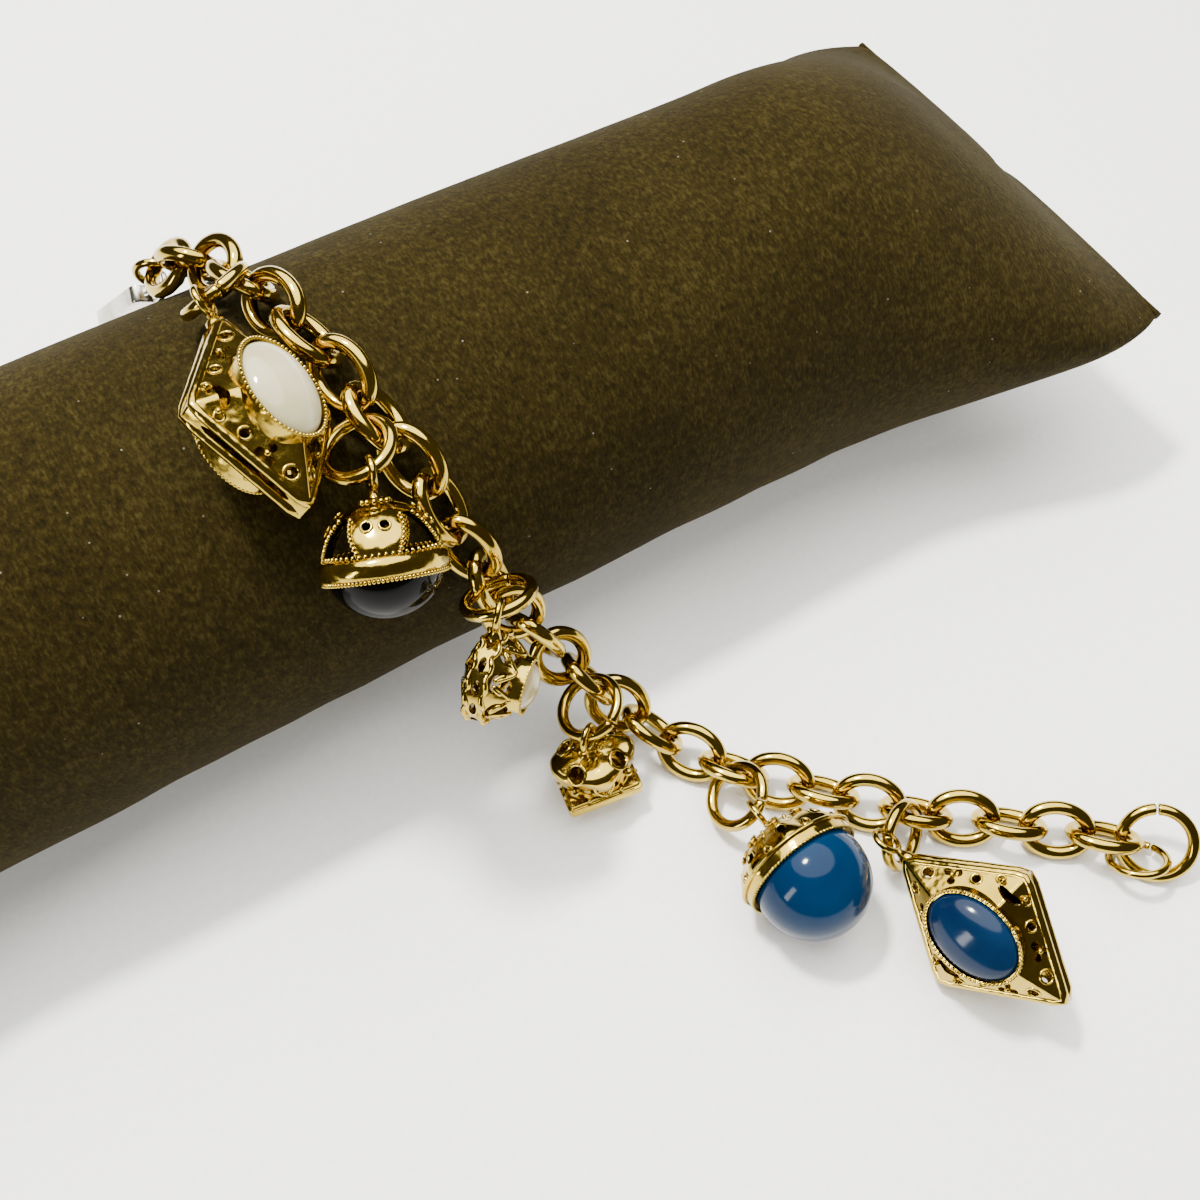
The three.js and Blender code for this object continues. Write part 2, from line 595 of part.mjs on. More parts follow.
// The clasp behind the pillow: a plain tongue with an eye, on a ring through the last link.
function claspEnd() {
  const { middle, run, face, across } = linkPlace(link.count);
  const out = run.clone()
    .applyAxisAngle(face, radians(claspRing.swing))
    .applyAxisAngle(across, radians(claspRing.dip));
  const mesh = threaded("clasp_ring", claspRing, gold(), {
    wireMiddle: middle.clone().addScaledVector(run, linkHalf),
    wire: link.wire,
    out,
    axle: squareTo(out, across.clone().applyAxisAngle(run, radians(claspRing.roll))),
  });
  const corner = clasp.corner;
  const outline = new THREE.Shape()
    .moveTo(corner - clasp.width / 2, 0)
    .lineTo(clasp.width / 2 - corner, 0)
    .lineTo(clasp.width / 2, -corner)
    .lineTo(clasp.width / 2, corner - clasp.length)
    .lineTo(clasp.width / 2 - corner, -clasp.length)
    .lineTo(corner - clasp.width / 2, -clasp.length)
    .lineTo(-clasp.width / 2, corner - clasp.length)
    .lineTo(-clasp.width / 2, -corner);
  const tongue = new THREE.ExtrudeGeometry(outline, { depth: clasp.thickness, bevelEnabled: false })
    .translate(0, 0, -clasp.thickness / 2)
    .rotateX(Math.PI / 2)
    .translate(0, 0, bodyTop);
  const up = bearing(clasp.up);
  const front = squareTo(up, bearing(clasp.face));
  const held = ringWire(mesh, { outer: claspRing.outer + 2 * loop.play, wire: claspRing.wire },
    clasp.slide);
  const body = piece("clasp", geometryOf(join([tongue, ...loopAndNeck(clasp.loopTurn)])), silver());
  return [mesh, placed(body, front.clone().cross(up), front, up, held)];
}

const group = new THREE.Group();
group.name = "charm_bracelet_on_pillow";
const hung = [
  hang("white_lozenge", "charm_ring_1", hangings.whiteLozenge,
    lozengePieces("white_lozenge", 0xe9e6da, hangings.whiteLozenge.loopTurn)),
  hang("black_fob", "charm_ring_2", hangings.blackFob, blackFobPieces(hangings.blackFob.loopTurn)),
  hang("scroll_charm", "charm_ring_3", hangings.scrollCharm, scrollPieces(hangings.scrollCharm.loopTurn)),
  hang("seal", "charm_ring_4", hangings.sealFob, sealPieces(hangings.sealFob.loopTurn)),
  hang("blue_ball", "charm_ring_5", hangings.blueBall, ballPieces(hangings.blueBall.loopTurn)),
  hang("blue_lozenge", "charm_ring_6", hangings.blueLozenge,
    lozengePieces("blue_lozenge", 0x12506e, hangings.blueLozenge.loopTurn)),
].flat();
group.add(piece("pillow", pillowGeometry(), suede()), ...chain(), ...hung, ...freeEnd(), ...claspEnd());

group.updateMatrixWorld(true);
const bounds = new THREE.Box3().setFromObject(group, true);
const middle = bounds.getCenter(vec(0, 0, 0));
group.position.set(-middle.x, -middle.y, -bounds.min.z);

export default group;
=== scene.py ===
import math

import bpy
import numpy as np
from mathutils import Matrix, Vector, noise


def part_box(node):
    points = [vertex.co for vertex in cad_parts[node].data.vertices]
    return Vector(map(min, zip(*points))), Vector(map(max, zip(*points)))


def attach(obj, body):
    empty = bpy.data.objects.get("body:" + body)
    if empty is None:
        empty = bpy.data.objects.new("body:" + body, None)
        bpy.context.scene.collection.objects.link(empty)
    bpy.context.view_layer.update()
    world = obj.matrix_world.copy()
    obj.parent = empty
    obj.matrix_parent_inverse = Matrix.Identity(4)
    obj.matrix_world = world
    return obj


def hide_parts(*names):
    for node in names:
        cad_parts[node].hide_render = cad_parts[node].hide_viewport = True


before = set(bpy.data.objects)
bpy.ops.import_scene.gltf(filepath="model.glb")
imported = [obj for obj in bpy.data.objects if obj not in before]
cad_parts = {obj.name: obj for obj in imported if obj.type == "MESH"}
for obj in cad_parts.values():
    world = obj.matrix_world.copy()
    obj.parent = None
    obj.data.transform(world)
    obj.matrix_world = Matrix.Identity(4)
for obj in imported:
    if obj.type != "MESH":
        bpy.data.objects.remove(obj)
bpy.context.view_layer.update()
MM = 0.001
TURN = 2 * math.pi

# Sizes in millimetres: a link is long, wide and thick, a ring or loop is as wide and thick as here
LINK = (10.8, 8.8, 2.0)
JUMP_RING = (10.4, 1.7)
END_RING = (11.4, 1.7)
END_RING_SMALL = (8.8, 1.1)
TONGUE_RING = (7.0, 1.1)
LOOP_WIDE, LOOP_WIRE = 4.6, 0.9
RING_CUT = 0.3
CUT_EASE = 0.03
WALL = 0.9

# How far from its middle a loop's corners are looked for, closer each time, until its neck is left out
LOOP_REACH = (3.9, 2.9, 2.6, 2.45, 2.45, 2.45)

# The turn of each charm's loop from its front, in degrees
WHITE_TURN, FOB_TURN, SCROLL_TURN, SEAL_TURN, BALL_TURN, BLUE_TURN, TONGUE_TURN = 26, -77, 11, 49, 82, 85, 81


# Working helpers: pieces are modelled in millimetres and placed into the frame in metres

def only(piece):
    if bpy.context.object and bpy.context.object.mode != "OBJECT":
        bpy.ops.object.mode_set(mode="OBJECT")
    bpy.ops.object.select_all(action="DESELECT")
    piece.select_set(True)
    bpy.context.view_layer.objects.active = piece
    return piece


def fresh(name):
    """The object just added, named, with its place and turn in its mesh."""
    piece = bpy.context.object
    piece.name = name
    bpy.ops.object.transform_apply(location=True, rotation=True, scale=True)
    return piece


def clear():
    bpy.ops.object.select_all(action="DESELECT")


def edit(piece, mode="FACE", test=None):
    """Edit mode on one piece, with the faces, edges or vertices that pass the test selected."""
    only(piece)
    bpy.ops.object.mode_set(mode="EDIT")
    bpy.ops.mesh.select_mode(type=mode)
    bpy.ops.mesh.select_all(action="SELECT" if test is None else "DESELECT")
    if test is not None:
        bpy.ops.object.mode_set(mode="OBJECT")
        mesh = piece.data
        parts = {"FACE": mesh.polygons, "EDGE": mesh.edges, "VERT": mesh.vertices}[mode]
        for part in parts:
            part.select = bool(test(part))
        bpy.ops.object.mode_set(mode="EDIT")


def leave():
    bpy.ops.object.mode_set(mode="OBJECT")


def outward(piece, weld=0.001):
    edit(piece, "VERT")
    bpy.ops.mesh.remove_doubles(threshold=weld)
    bpy.ops.mesh.normals_make_consistent(inside=False)
    leave()
    return piece


def smooth(piece, degrees=40):
    only(piece)
    bpy.ops.object.shade_smooth_by_angle(angle=math.radians(degrees))
    return piece


def modify(piece, kind, **settings):
    only(piece)
    modifier = piece.modifiers.new(kind.title(), kind)
    for key, value in settings.items():
        setattr(modifier, key, value)
    bpy.ops.object.modifier_apply(modifier=modifier.name)
    return piece


def joined(name, pieces):
    clear()
    for piece in pieces:
        piece.select_set(True)
    bpy.context.view_layer.objects.active = pieces[0]
    if len(pieces) > 1:
        bpy.ops.object.join()
    pieces[0].name = name
    return pieces[0]


def copy_of(piece, matrix, name=None):
    twin = piece.copy()
    twin.data = piece.data.copy()
    bpy.context.collection.objects.link(twin)
    twin.data.transform(matrix)
    twin.name = name or piece.name
    return twin


def carve(piece, cutters):
    tool = joined("cutter", cutters)
    modify(piece, "BOOLEAN", operation="DIFFERENCE", object=tool, solver="EXACT", use_self=True)
    bpy.data.objects.remove(tool)
    return piece


def turn_to(direction, point, along=Vector((0, 0, 1))):
    """The matrix that stands Z along a direction, with Y near another, at a point."""
    z = Vector(direction).normalized()
    y = (Vector(along) - z * Vector(along).dot(z)).normalized()
    x = y.cross(z)
    return Matrix.Translation(point) @ Matrix((x, y, z)).transposed().to_4x4()


def runs_along(piece, axis, least=1):
    """A test for the edges of a piece that run along an axis, 0 to 2."""
    ends = piece.data.vertices
    return lambda edge: abs((ends[edge.vertices[0]].co - ends[edge.vertices[1]].co)[axis]) > least


def drill(point, direction, wide, long=None, reach=4.0, along=(0, 0, 1), sides=16):
    clear()
    bpy.ops.mesh.primitive_cylinder_add(vertices=sides, radius=0.5, depth=reach)
    tool = bpy.context.object
    tool.data.transform(turn_to(direction, point, along) @ Matrix.Diagonal((wide, long or wide, 1, 1)))
    return tool


def wire_path(name, points, thick, closed=False, sides=2):
    """A round wire along points: one vertex is extruded from point to point, then given its thickness."""
    clear()
    bpy.ops.mesh.primitive_plane_add(size=0.1, location=points[0])
    path = fresh(name)
    edit(path, "VERT")
    bpy.ops.mesh.merge(type="CENTER")
    for here, there in zip(points, points[1:]):
        step = Vector(there) - Vector(here)
        bpy.ops.mesh.extrude_region_move(TRANSFORM_OT_translate={"value": step})
    if closed:
        bpy.ops.mesh.select_all(action="SELECT")
        bpy.ops.mesh.edge_face_add()
        bpy.ops.mesh.delete(type="ONLY_FACE")
    leave()
    only(path)
    bpy.ops.object.convert(target="CURVE")
    path = bpy.context.object
    path.data.bevel_depth = thick / 2
    path.data.bevel_resolution = sides
    path.data.use_fill_caps = True
    bpy.ops.object.convert(target="MESH")
    return bpy.context.object


def hoop(name, path, thick, sides=2):
    return smooth(wire_path(name, [Vector(point) for point in path], thick, sides=sides), 60)


def wire_oval(name, length, width, wire, steps=12, sides=4):
    clear()
    bpy.ops.curve.primitive_bezier_circle_add(radius=1)
    oval = bpy.context.object
    bpy.ops.object.mode_set(mode="EDIT")
    bpy.ops.curve.select_all(action="SELECT")
    bpy.ops.transform.resize(value=((length - wire) / 2, (width - wire) / 2, 1))
    bpy.ops.object.mode_set(mode="OBJECT")
    oval.data.resolution_u = steps
    oval.data.bevel_depth = wire / 2
    oval.data.bevel_resolution = sides
    bpy.ops.object.convert(target="MESH")
    oval = bpy.context.object
    oval.name = name
    return outward(oval)


def split_ring(name, outer, wire, cut=0.25):
    """A jump ring round Z: a wire section spun nearly all the way, its two ends eased."""
    middle = (outer - wire) / 2
    clear()
    upright = (math.pi / 2, 0, 0)
    bpy.ops.mesh.primitive_circle_add(
        vertices=14, radius=wire / 2, fill_type="NGON", location=(middle, 0, 0), rotation=upright
    )
    ring = fresh(name)
    edit(ring)
    gap = cut / middle
    bpy.ops.mesh.spin(steps=56, angle=TURN - gap, center=(0, 0, 0), axis=(0, 0, 1))
    leave()
    outward(ring)
    ring.data.transform(Matrix.Rotation(gap / 2, 4, "Z"))
    edit(ring, "FACE", lambda face: len(face.vertices) > 4)
    bpy.ops.mesh.bevel(offset=wire * 0.12, segments=2, affect="EDGES")
    leave()
    return ring


def lathe(name, profile, steps=64):
    """A turned piece round Z: one vertex is extruded along the profile of radius and height, then spun."""
    clear()
    bpy.ops.mesh.primitive_plane_add(size=0.01, location=(profile[0][0], 0, profile[0][1]))
    piece = fresh(name)
    edit(piece, "VERT")
    bpy.ops.mesh.merge(type="CENTER")
    for (r0, z0), (r1, z1) in zip(profile, profile[1:]):
        bpy.ops.mesh.extrude_region_move(TRANSFORM_OT_translate={"value": (r1 - r0, 0, z1 - z0)})
    bpy.ops.mesh.select_all(action="SELECT")
    bpy.ops.mesh.spin(steps=steps, angle=TURN, center=(0, 0, 0), axis=(0, 0, 1))
    leave()
    return outward(piece, 0.002)


def bead(radius):
    clear()
    bpy.ops.mesh.primitive_uv_sphere_add(segments=8, ring_count=5, radius=radius)
    return fresh("bead")


def beads(name, radius, points):
    """A row of small grains, each a copy of one."""
    grain = bead(radius)
    row = [copy_of(grain, Matrix.Translation(point)) for point in points]
    bpy.data.objects.remove(grain)
    return smooth(joined(name, row), 60)


def oval_points(length, width, count, height=0.0):
    return [
        (width / 2 * math.cos(TURN * i / count), length / 2 * math.sin(TURN * i / count), height)
        for i in range(count)
    ]


def dome_stone(name, length, width, height):
    """A polished cabochon on the XY plane: a ball cut flat, pressed to its oval, its edge eased."""
    clear()
    bpy.ops.mesh.primitive_uv_sphere_add(segments=56, ring_count=28, radius=1)
    stone = fresh(name)
    edit(stone)
    bpy.ops.mesh.bisect(plane_co=(0, 0, 0), plane_no=(0, 0, 1), clear_inner=True, use_fill=True)
    bpy.ops.mesh.select_all(action="SELECT")
    bpy.ops.transform.resize(value=(width / 2, length / 2, height), center_override=(0, 0, 0))
    leave()
    edit(stone, "FACE", lambda face: len(face.vertices) > 8)
    bpy.ops.mesh.bevel(offset=0.2, segments=2, affect="EDGES")
    leave()
    return smooth(stone, 50)


# Places read from the frame's own pieces

def corners(node):
    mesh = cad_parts[node].data
    found = np.array([corner.co for corner in mesh.vertices]) / MM
    return np.unique(np.round(found, 3), axis=0)


def main_axes(points):
    middle = points.mean(axis=0)
    _, _, rows = np.linalg.svd(points - middle, full_matrices=False)
    return middle, rows


def ring_place(points):
    """A round ring's middle and its axle, and the way to its cut."""
    middle, rows = main_axes(points)
    flat = (points - middle) @ rows[:2].T
    system = np.c_[2 * flat, np.ones(len(flat))]
    fit = np.linalg.lstsq(system, (flat**2).sum(axis=1), rcond=None)[0]
    middle = middle + fit[0] * rows[0] + fit[1] * rows[1]
    apart = np.linalg.norm(points[:, None] - points[None], axis=2)
    at_cut = points[(abs(apart - RING_CUT) < CUT_EASE).any(axis=1)]
    way = (at_cut.mean(axis=0) if len(at_cut) else points[0]) - middle
    axle = rows[2]
    way = way - axle * way.dot(axle)
    way = way / np.linalg.norm(way)
    return Vector(middle), Vector(way), Vector(axle)


def frame_matrix(middle, x, y, z):
    turn = Matrix((x, y, z)).transposed().to_4x4()
    return Matrix.Scale(MM, 4) @ Matrix.Translation(middle) @ turn


def bearing(compass, height):
    """A direction from its compass angle and height in degrees."""
    a, h = math.radians(compass), math.radians(height)
    return Vector((math.cos(h) * math.cos(a), math.cos(h) * math.sin(a), math.sin(h)))


def level(height):
    """The step straight up or down to a height."""
    return Vector((0, 0, height))


def hanging(case, ring, stone=None, turn=None):
    """A charm's loop, its way up and its front; an upright charm's front comes from its loop's turn."""
    points = corners(case)
    seen = corners(stone or case).mean(axis=0)
    held = corners(ring).mean(axis=0)
    loop = Vector(points[np.linalg.norm(points - held, axis=1).argmin()])
    for reach in LOOP_REACH:
        loop, _, axle = ring_place(points[np.linalg.norm(points - loop, axis=1) < reach])
    if stone is None:
        for _ in range(3):
            depth = (points - loop) @ (seen - loop)
            seen = points[depth > depth.max() - 1.2 * np.linalg.norm(seen - loop)].mean(axis=0)
    seen = Vector(seen)
    if turn is None:
        front = Vector(main_axes(corners(stone))[1][2])
        if front.dot(seen - Vector(points.mean(axis=0))) < 0:
            front = -front
        seen = seen - front * (seen - loop).dot(front)
    else:
        front = Matrix.Rotation(-math.radians(turn), 3, (loop - seen).normalized()) @ axle
    up = (loop - seen).normalized()
    return loop, up, (front - up * front.dot(up)).normalized()


def disc_matrix(place):
    """Stands a charm modelled face up, its loop at the origin and its body towards -Y."""
    loop, up, front = place
    return frame_matrix(loop, up.cross(front), up, front)


def drop_matrix(place):
    """Stands a charm modelled upright, its loop at the origin and its body towards -Z."""
    loop, up, front = place
    return frame_matrix(loop, front.cross(up), front, up)


def finish_piece(name, parts, matrix, finish, slot, *nodes):
    """Joins the parts, sets them in the frame and hides the pieces of the frame they stand for."""
    piece = joined(name, parts)
    piece.data.transform(matrix)
    piece.data.materials.clear()
    piece.data.materials.append(finish)
    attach(piece, "root")
    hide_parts(*nodes)
    return piece


# Finishes

class Wire:
    """A socket in a finish, with arithmetic on it."""

    def __init__(self, finish, socket):
        self.finish, self.socket = finish, socket

    def sum(self, kind, other):
        return self.finish.node("ShaderNodeMath", {"operation": kind}, {0: self, 1: other})

    def __add__(self, other):
        return self.sum("ADD", other)

    def __mul__(self, other):
        return self.sum("MULTIPLY", other)

    __radd__, __rmul__ = __add__, __mul__


class Finish:
    """One material built from its nodes."""

    def __init__(self, name, **constants):
        self.material = bpy.data.materials.new(name)
        self.material.use_nodes = True
        self.tree = self.material.node_tree
        self.shader = self.tree.nodes["Principled BSDF"]
        for key, value in constants.items():
            self.shader.inputs[key.replace("_", " ")].default_value = value

    def node(self, kind, settings=None, sockets=None, out=0):
        made = self.tree.nodes.new(kind)
        for key, value in (settings or {}).items():
            if key == "stops":
                ramp = made.color_ramp
                while len(ramp.elements) < len(value):
                    ramp.elements.new(0.5)
                for stop, (at, colour) in zip(ramp.elements, value):
                    stop.position = at
                    stop.color = (*colour, 1) if len(colour) == 3 else colour
            else:
                setattr(made, key, value)
        for key, value in (sockets or {}).items():
            if isinstance(value, Wire):
                self.tree.links.new(value.socket, made.inputs[key])
            else:
                made.inputs[key].default_value = value
        return Wire(self, made.outputs[out])

    def place(self):
        return self.node("ShaderNodeTexCoord", out=3)

    def stretched(self, place, scale, turn=(0, 0, 0)):
        return self.node("ShaderNodeMapping", {}, {"Vector": place, "Scale": scale, "Rotation": turn})

    def grain(self, place, scale, detail=3.0, rough=0.5):
        sockets = {"Vector": place, "Scale": scale, "Detail": detail, "Roughness": rough}
        return self.node("ShaderNodeTexNoise", {}, sockets)

    def ramp(self, fac, *stops):
        return self.node("ShaderNodeValToRGB", {"stops": stops}, {"Fac": fac})

    def grey(self, fac, low, high, start=0.0, stop=1.0):
        sockets = {"Value": fac, "From Min": start, "From Max": stop, "To Min": low, "To Max": high}
        return self.node("ShaderNodeMapRange", {}, sockets)

    def bump(self, height, strength, distance, normal=None):
        sockets = {"Height": height, "Strength": strength, "Distance": distance}
        if normal:
            sockets["Normal"] = normal
        return self.node("ShaderNodeBump", {}, sockets)

    def feed(self, **links):
        for key, value in links.items():
            self.tree.links.new(value.socket, self.shader.inputs[key.replace("_", " ")])
        return self.material


GOLD_DARK, GOLD_LIGHT = (0.37, 0.245, 0.026), (0.56, 0.405, 0.066)
SILVER_DARK, SILVER_LIGHT = (0.42, 0.39, 0.32), (0.74, 0.72, 0.66)
# The suede's nap tones from dark to light; the dark end also serves as painted shade in the nap's hollows
NAP_DARK_HOLLOW_SHADE, NAP_MIDDLE, NAP_LIGHT = (0.0045, 0.0030, 0.0002), (0.0135, 0.0093, 0.0011), (0.031, 0.0235, 0.0052)
SHEEN_TINT, LINT = (0.55, 0.48, 0.3, 1), (0.45, 0.42, 0.32, 1)
STROKE_SCALE, STROKE_TURN = (2600.0, 1100.0, 1100.0), (0.0, 0.0, 0.5)


def gold_finish(name, lump, dull):
    """Polished gold plate: lump is the depth of the cast unevenness, dull the haze added to its roughness
    all over.
    """
    gold = Finish(name, Metallic=1.0)
    place = gold.place()
    patch = gold.grain(place, 90.0, 2.0)
    fine = gold.grain(place, 700.0, 3.0)
    tint = gold.ramp(patch, (0.3, GOLD_DARK), (0.7, GOLD_LIGHT))
    haze = gold.grey(fine, 0.06 + dull, 0.15 + dull, 0.3, 0.7)
    rolling = gold.bump(gold.grain(place, 330.0, 2.0), lump, 0.0006)
    return gold.feed(Base_Color=tint, Roughness=haze, Normal=gold.bump(fine, 0.05, 0.0001, rolling))


def stone_finish(name, dark, light, cloud=60.0, rough=0.05, coat=0.0, **more):
    """A polished stone with soft clouds in its colour."""
    stone = Finish(name, Coat_Weight=coat, Coat_Roughness=0.03, **more)
    place = stone.place()
    clouds = stone.grain(place, cloud, 3.0)
    colour = stone.ramp(clouds, (0.3, dark), (0.72, light))
    haze = stone.grey(stone.grain(place, 400.0, 2.0), rough, rough + 0.05)
    return stone.feed(Base_Color=colour, Roughness=haze)


def suede_finish():
    """Olive-brown suede: brushed nap in short strokes with painted shade in its hollows, pale lint."""
    suede = Finish("olive_suede", Sheen_Weight=0.06, Sheen_Roughness=0.5, Specular_IOR_Level=0.05)
    suede.shader.inputs["Sheen Tint"].default_value = SHEEN_TINT
    place = suede.place()
    strokes = suede.stretched(place, STROKE_SCALE, STROKE_TURN)
    nap = suede.grain(strokes, 1.0, 4.0, 0.65)
    swirl = suede.grain(place, 900.0, 3.0, 0.6)
    cloud = suede.grain(place, 40.0, 3.0, 0.55)
    # Painted shade: the nap and swirl that raise the bump also darken the colour, so the suede is darker in
    # its hollows; the cloud adds uneven tone
    shade = nap * 0.55 + swirl * 0.35 + cloud * 0.2
    colour = suede.ramp(shade, (0.40, NAP_DARK_HOLLOW_SHADE), (0.55, NAP_MIDDLE), (0.70, NAP_LIGHT))
    speck = suede.node("ShaderNodeTexVoronoi", {"feature": "F1"}, {"Vector": place, "Scale": 260.0})
    lint = suede.grey(speck, 1.0, 0.0, 0.02, 0.045)
    mix = {0: lint * 0.28, 6: colour, 7: LINT}
    pale = suede.node("ShaderNodeMix", {"data_type": "RGBA"}, mix, out=2)
    fuzz = suede.bump(nap + swirl * 0.6, 0.35, 0.0006)
    return suede.feed(Base_Color=pale, Roughness=suede.grey(nap, 0.82, 0.98), Normal=fuzz)


def worn_silver_finish():
    silver = Finish("worn_silver", Metallic=1.0)
    place = silver.place()
    wear = silver.grain(place, 260.0, 3.0)
    tint = silver.ramp(wear, (0.35, SILVER_DARK), (0.65, SILVER_LIGHT))
    return silver.feed(
        Base_Color=tint, Roughness=silver.grey(wear, 0.14, 0.34), Normal=silver.bump(wear, 0.1, 0.0002)
    )


link_gold = gold_finish("link_gold", 0.05, 0.0)
cast_gold = gold_finish("cast_gold", 0.34, 0.03)


# Chain and rings

link_form = smooth(wire_oval("link_form", *LINK, steps=14, sides=4), 80)
for number in range(1, 29):
    node = f"chain_link_{number:02d}"
    middle, rows = main_axes(corners(node))
    run, across = Vector(rows[0]), Vector(rows[1])
    name = f"link_{number:02d}"
    link = copy_of(link_form, frame_matrix(middle, run, across, run.cross(across)), name)
    finish_piece(name, [link], Matrix(), link_gold, "gold", node)
bpy.data.objects.remove(link_form)


def ring_piece(name, node, outer, wire):
    middle, way, axle = ring_place(corners(node))
    ring = smooth(split_ring(name, outer, wire), 60)
    matrix = frame_matrix(middle, way, axle.cross(way), axle)
    finish_piece(name, [ring], matrix, link_gold, "gold", node)


for number in range(1, 7):
    ring_piece(f"jump_ring_{number}", f"charm_ring_{number}", *JUMP_RING)
ring_piece("open_end_ring", "end_ring", *END_RING)
ring_piece("open_end_ring_small", "end_ring_small", *END_RING_SMALL)
ring_piece("tongue_ring", "clasp_ring", *TONGUE_RING)


def charm_loop(turn, upright=False):
    """A charm's soldered loop and the neck below it, for a charm modelled face up or upright."""
    ring = wire_oval("loop", LOOP_WIDE, LOOP_WIDE, LOOP_WIRE, steps=8, sides=3)
    stem = [(0, -1.9), (0.5, -1.9), (0.55, -2.3), (0.75, -2.8), (1.15, -3.3), (1.15, -3.9), (0, -3.9)]
    neck = lathe("neck", stem, 20)
    if upright:
        stand = Matrix.Rotation(math.pi / 2, 4, "X")
        ring.data.transform(Matrix.Rotation(math.radians(turn), 4, "Z") @ stand)
    else:
        ring.data.transform(Matrix.Rotation(math.radians(turn), 4, "Y"))
        neck.data.transform(Matrix.Rotation(-math.pi / 2, 4, "X"))
    return smooth(joined("loop", [ring, neck]), 60)


# Lozenge lanterns

def lozenge_lantern():
    """The pierced lozenge round its own middle: two low pyramids on a slotted rim, a setting on each."""
    long, wide, rim, rise, seat = 13.6, 10.0, 2.4, 3.4, 0.5
    setting_wide, setting_long, setting_wall = 10.44, 14.04, 0.4
    grain_wide, grain_long = 10.15, 13.75
    holes = ((0.17, 0.3, 1.8), (0.62, 0.3, 1.5), (0.83, 0.22, 1.2))  # share of the side, lift, width
    corner_slot, rim_slot = (1.1, 3.6), (1.5, 12.2)
    petals, petal_out, petal_wide, heart_share, heart_lift = 3, 0.85, 1.15, 0.4, 0.28

    def block(scale, height, top):
        clear()
        bpy.ops.mesh.primitive_cylinder_add(vertices=4, radius=1, depth=rim)
        shape = fresh("lozenge")
        edit(shape)
        bpy.ops.transform.resize(value=(wide * scale, long * scale, 1), center_override=(0, 0, 0))
        leave()
        for way in (1, -1):
            edit(shape, "FACE", lambda face: face.normal.z * way > 0.9)
            bpy.ops.mesh.extrude_region_move(TRANSFORM_OT_translate={"value": (0, 0, way * height)})
            bpy.ops.transform.resize(value=(top, top, 1), center_override=(0, 0, 0))
            leave()
        return outward(shape)

    side = math.hypot(long, wide)
    inset = 1 - WALL * side / (long * wide)
    shell = block(1, rise, seat)
    modify(shell, "BEVEL", width=0.3, segments=3, limit_method="ANGLE")
    cutters = [block(inset, rise - WALL, 1 - (1 - seat) * (rise - WALL) / rise / inset)]
    carve(shell, cutters)
    tools, rims, grains = [], [], []
    for x in (-1, 1):
        tools.append(drill((x * 6.7, 0, 0), (0, 0, 1), *corner_slot, 14, along=(0, 1, 0)))
        for y in (-1, 1):
            along = Vector((x * wide, -y * long, 0)).normalized()
            flank = Vector((x / wide, y / long, 0)).normalized()
            halfway = (x * wide / 2, y * long / 2, 0)
            tools.append(drill(halfway, flank, *rim_slot, 5, along=along, sides=24))
            for z in (-1, 1):
                face = (flank * rise + level(z * long * wide * (1 - seat) / side)).normalized()
                for share, lift, size in holes:
                    shrink = 1 - (1 - seat) * lift
                    out, along_it = x * share * wide * shrink, y * (1 - share) * long * shrink
                    spot = Vector((out, along_it, z * (rim / 2 + rise * lift)))
                    tools.append(drill(spot, face, size, reach=2.6))
                    lip = wire_oval("lip", size + 0.35, size + 0.35, 0.4, steps=5, sides=1)
                    lip.data.transform(turn_to(face, spot - face * 0.04))
                    rims.append(lip)
                shrink = 1 - (1 - seat) * heart_lift
                out, along_it = x * heart_share * wide * shrink, y * (1 - heart_share) * long * shrink
                heart = Vector((out, along_it, z * (rim / 2 + rise * heart_lift)))
                for petal in range(petals):
                    step = Matrix.Rotation(TURN * petal / petals + 0.5, 4, face) @ along
                    tools.append(drill(heart + step * petal_out, face, petal_wide, reach=2.6, sides=12))
                grains += [heart + face * 0.15, Vector((x * 7.6, y * 1.7, z * 2.4))]
    carve(shell, tools)
    smooth(shell, 35)
    edges = []
    for z in (-1, 1):
        tip_long, tip_wide = long - 0.4, wide - 0.4
        around = (0, tip_long, z), (tip_wide, 0, z), (0, -tip_long, z), (-tip_wide, 0, z)
        tips = [Vector(point) for point in around]
        trail = []
        for tip, before, after in zip(tips, tips[-1:] + tips[:-1], tips[1:] + tips[:1]):
            ends = tip + (before - tip).normalized() * 1.4, tip + (after - tip).normalized() * 1.4
            trail += [ends[0], tip.lerp(ends[0] * 0.5 + ends[1] * 0.5, 0.35), ends[1]]
        edges.append(smooth(wire_path("rim_wire", trail, 1.35, closed=True, sides=4), 60))
        clear()
        bpy.ops.mesh.primitive_cylinder_add(
            vertices=64, radius=0.5, depth=2.6, location=level(z * (rim / 2 + rise - 0.4))
        )
        wall = fresh("setting")
        wall.data.transform(Matrix.Diagonal((setting_wide, setting_long, 1, 1)))
        pocket_wide, pocket_long = setting_wide - 2 * setting_wall, setting_long - 2 * setting_wall
        over = (0, 0, z * (rim / 2 + rise + 1))
        pocket = drill(over, (0, 0, 1), pocket_wide, pocket_long, 2, along=(0, 1, 0), sides=64)
        carve(wall, [pocket])
        edges.append(smooth(wall, 40))
        high = z * (rim / 2 + rise + 0.85)
        edges.append(beads("milgrain", 0.27, oval_points(grain_long, grain_wide, 68, high)))
    return joined("lozenge_form", [shell, *rims, *edges, beads("grains", 0.42, grains)])


LANTERN_DROP = 16.7
LANTERN_STONE = (13, 9.4, 2.7)
LANTERN_SEAT = 4.72
OPAL_DARK, OPAL_LIGHT = (0.36, 0.33, 0.185), (0.52, 0.485, 0.32)
CHALCEDONY_DARK, CHALCEDONY_LIGHT = (0.001, 0.007, 0.027), (0.002, 0.017, 0.050)

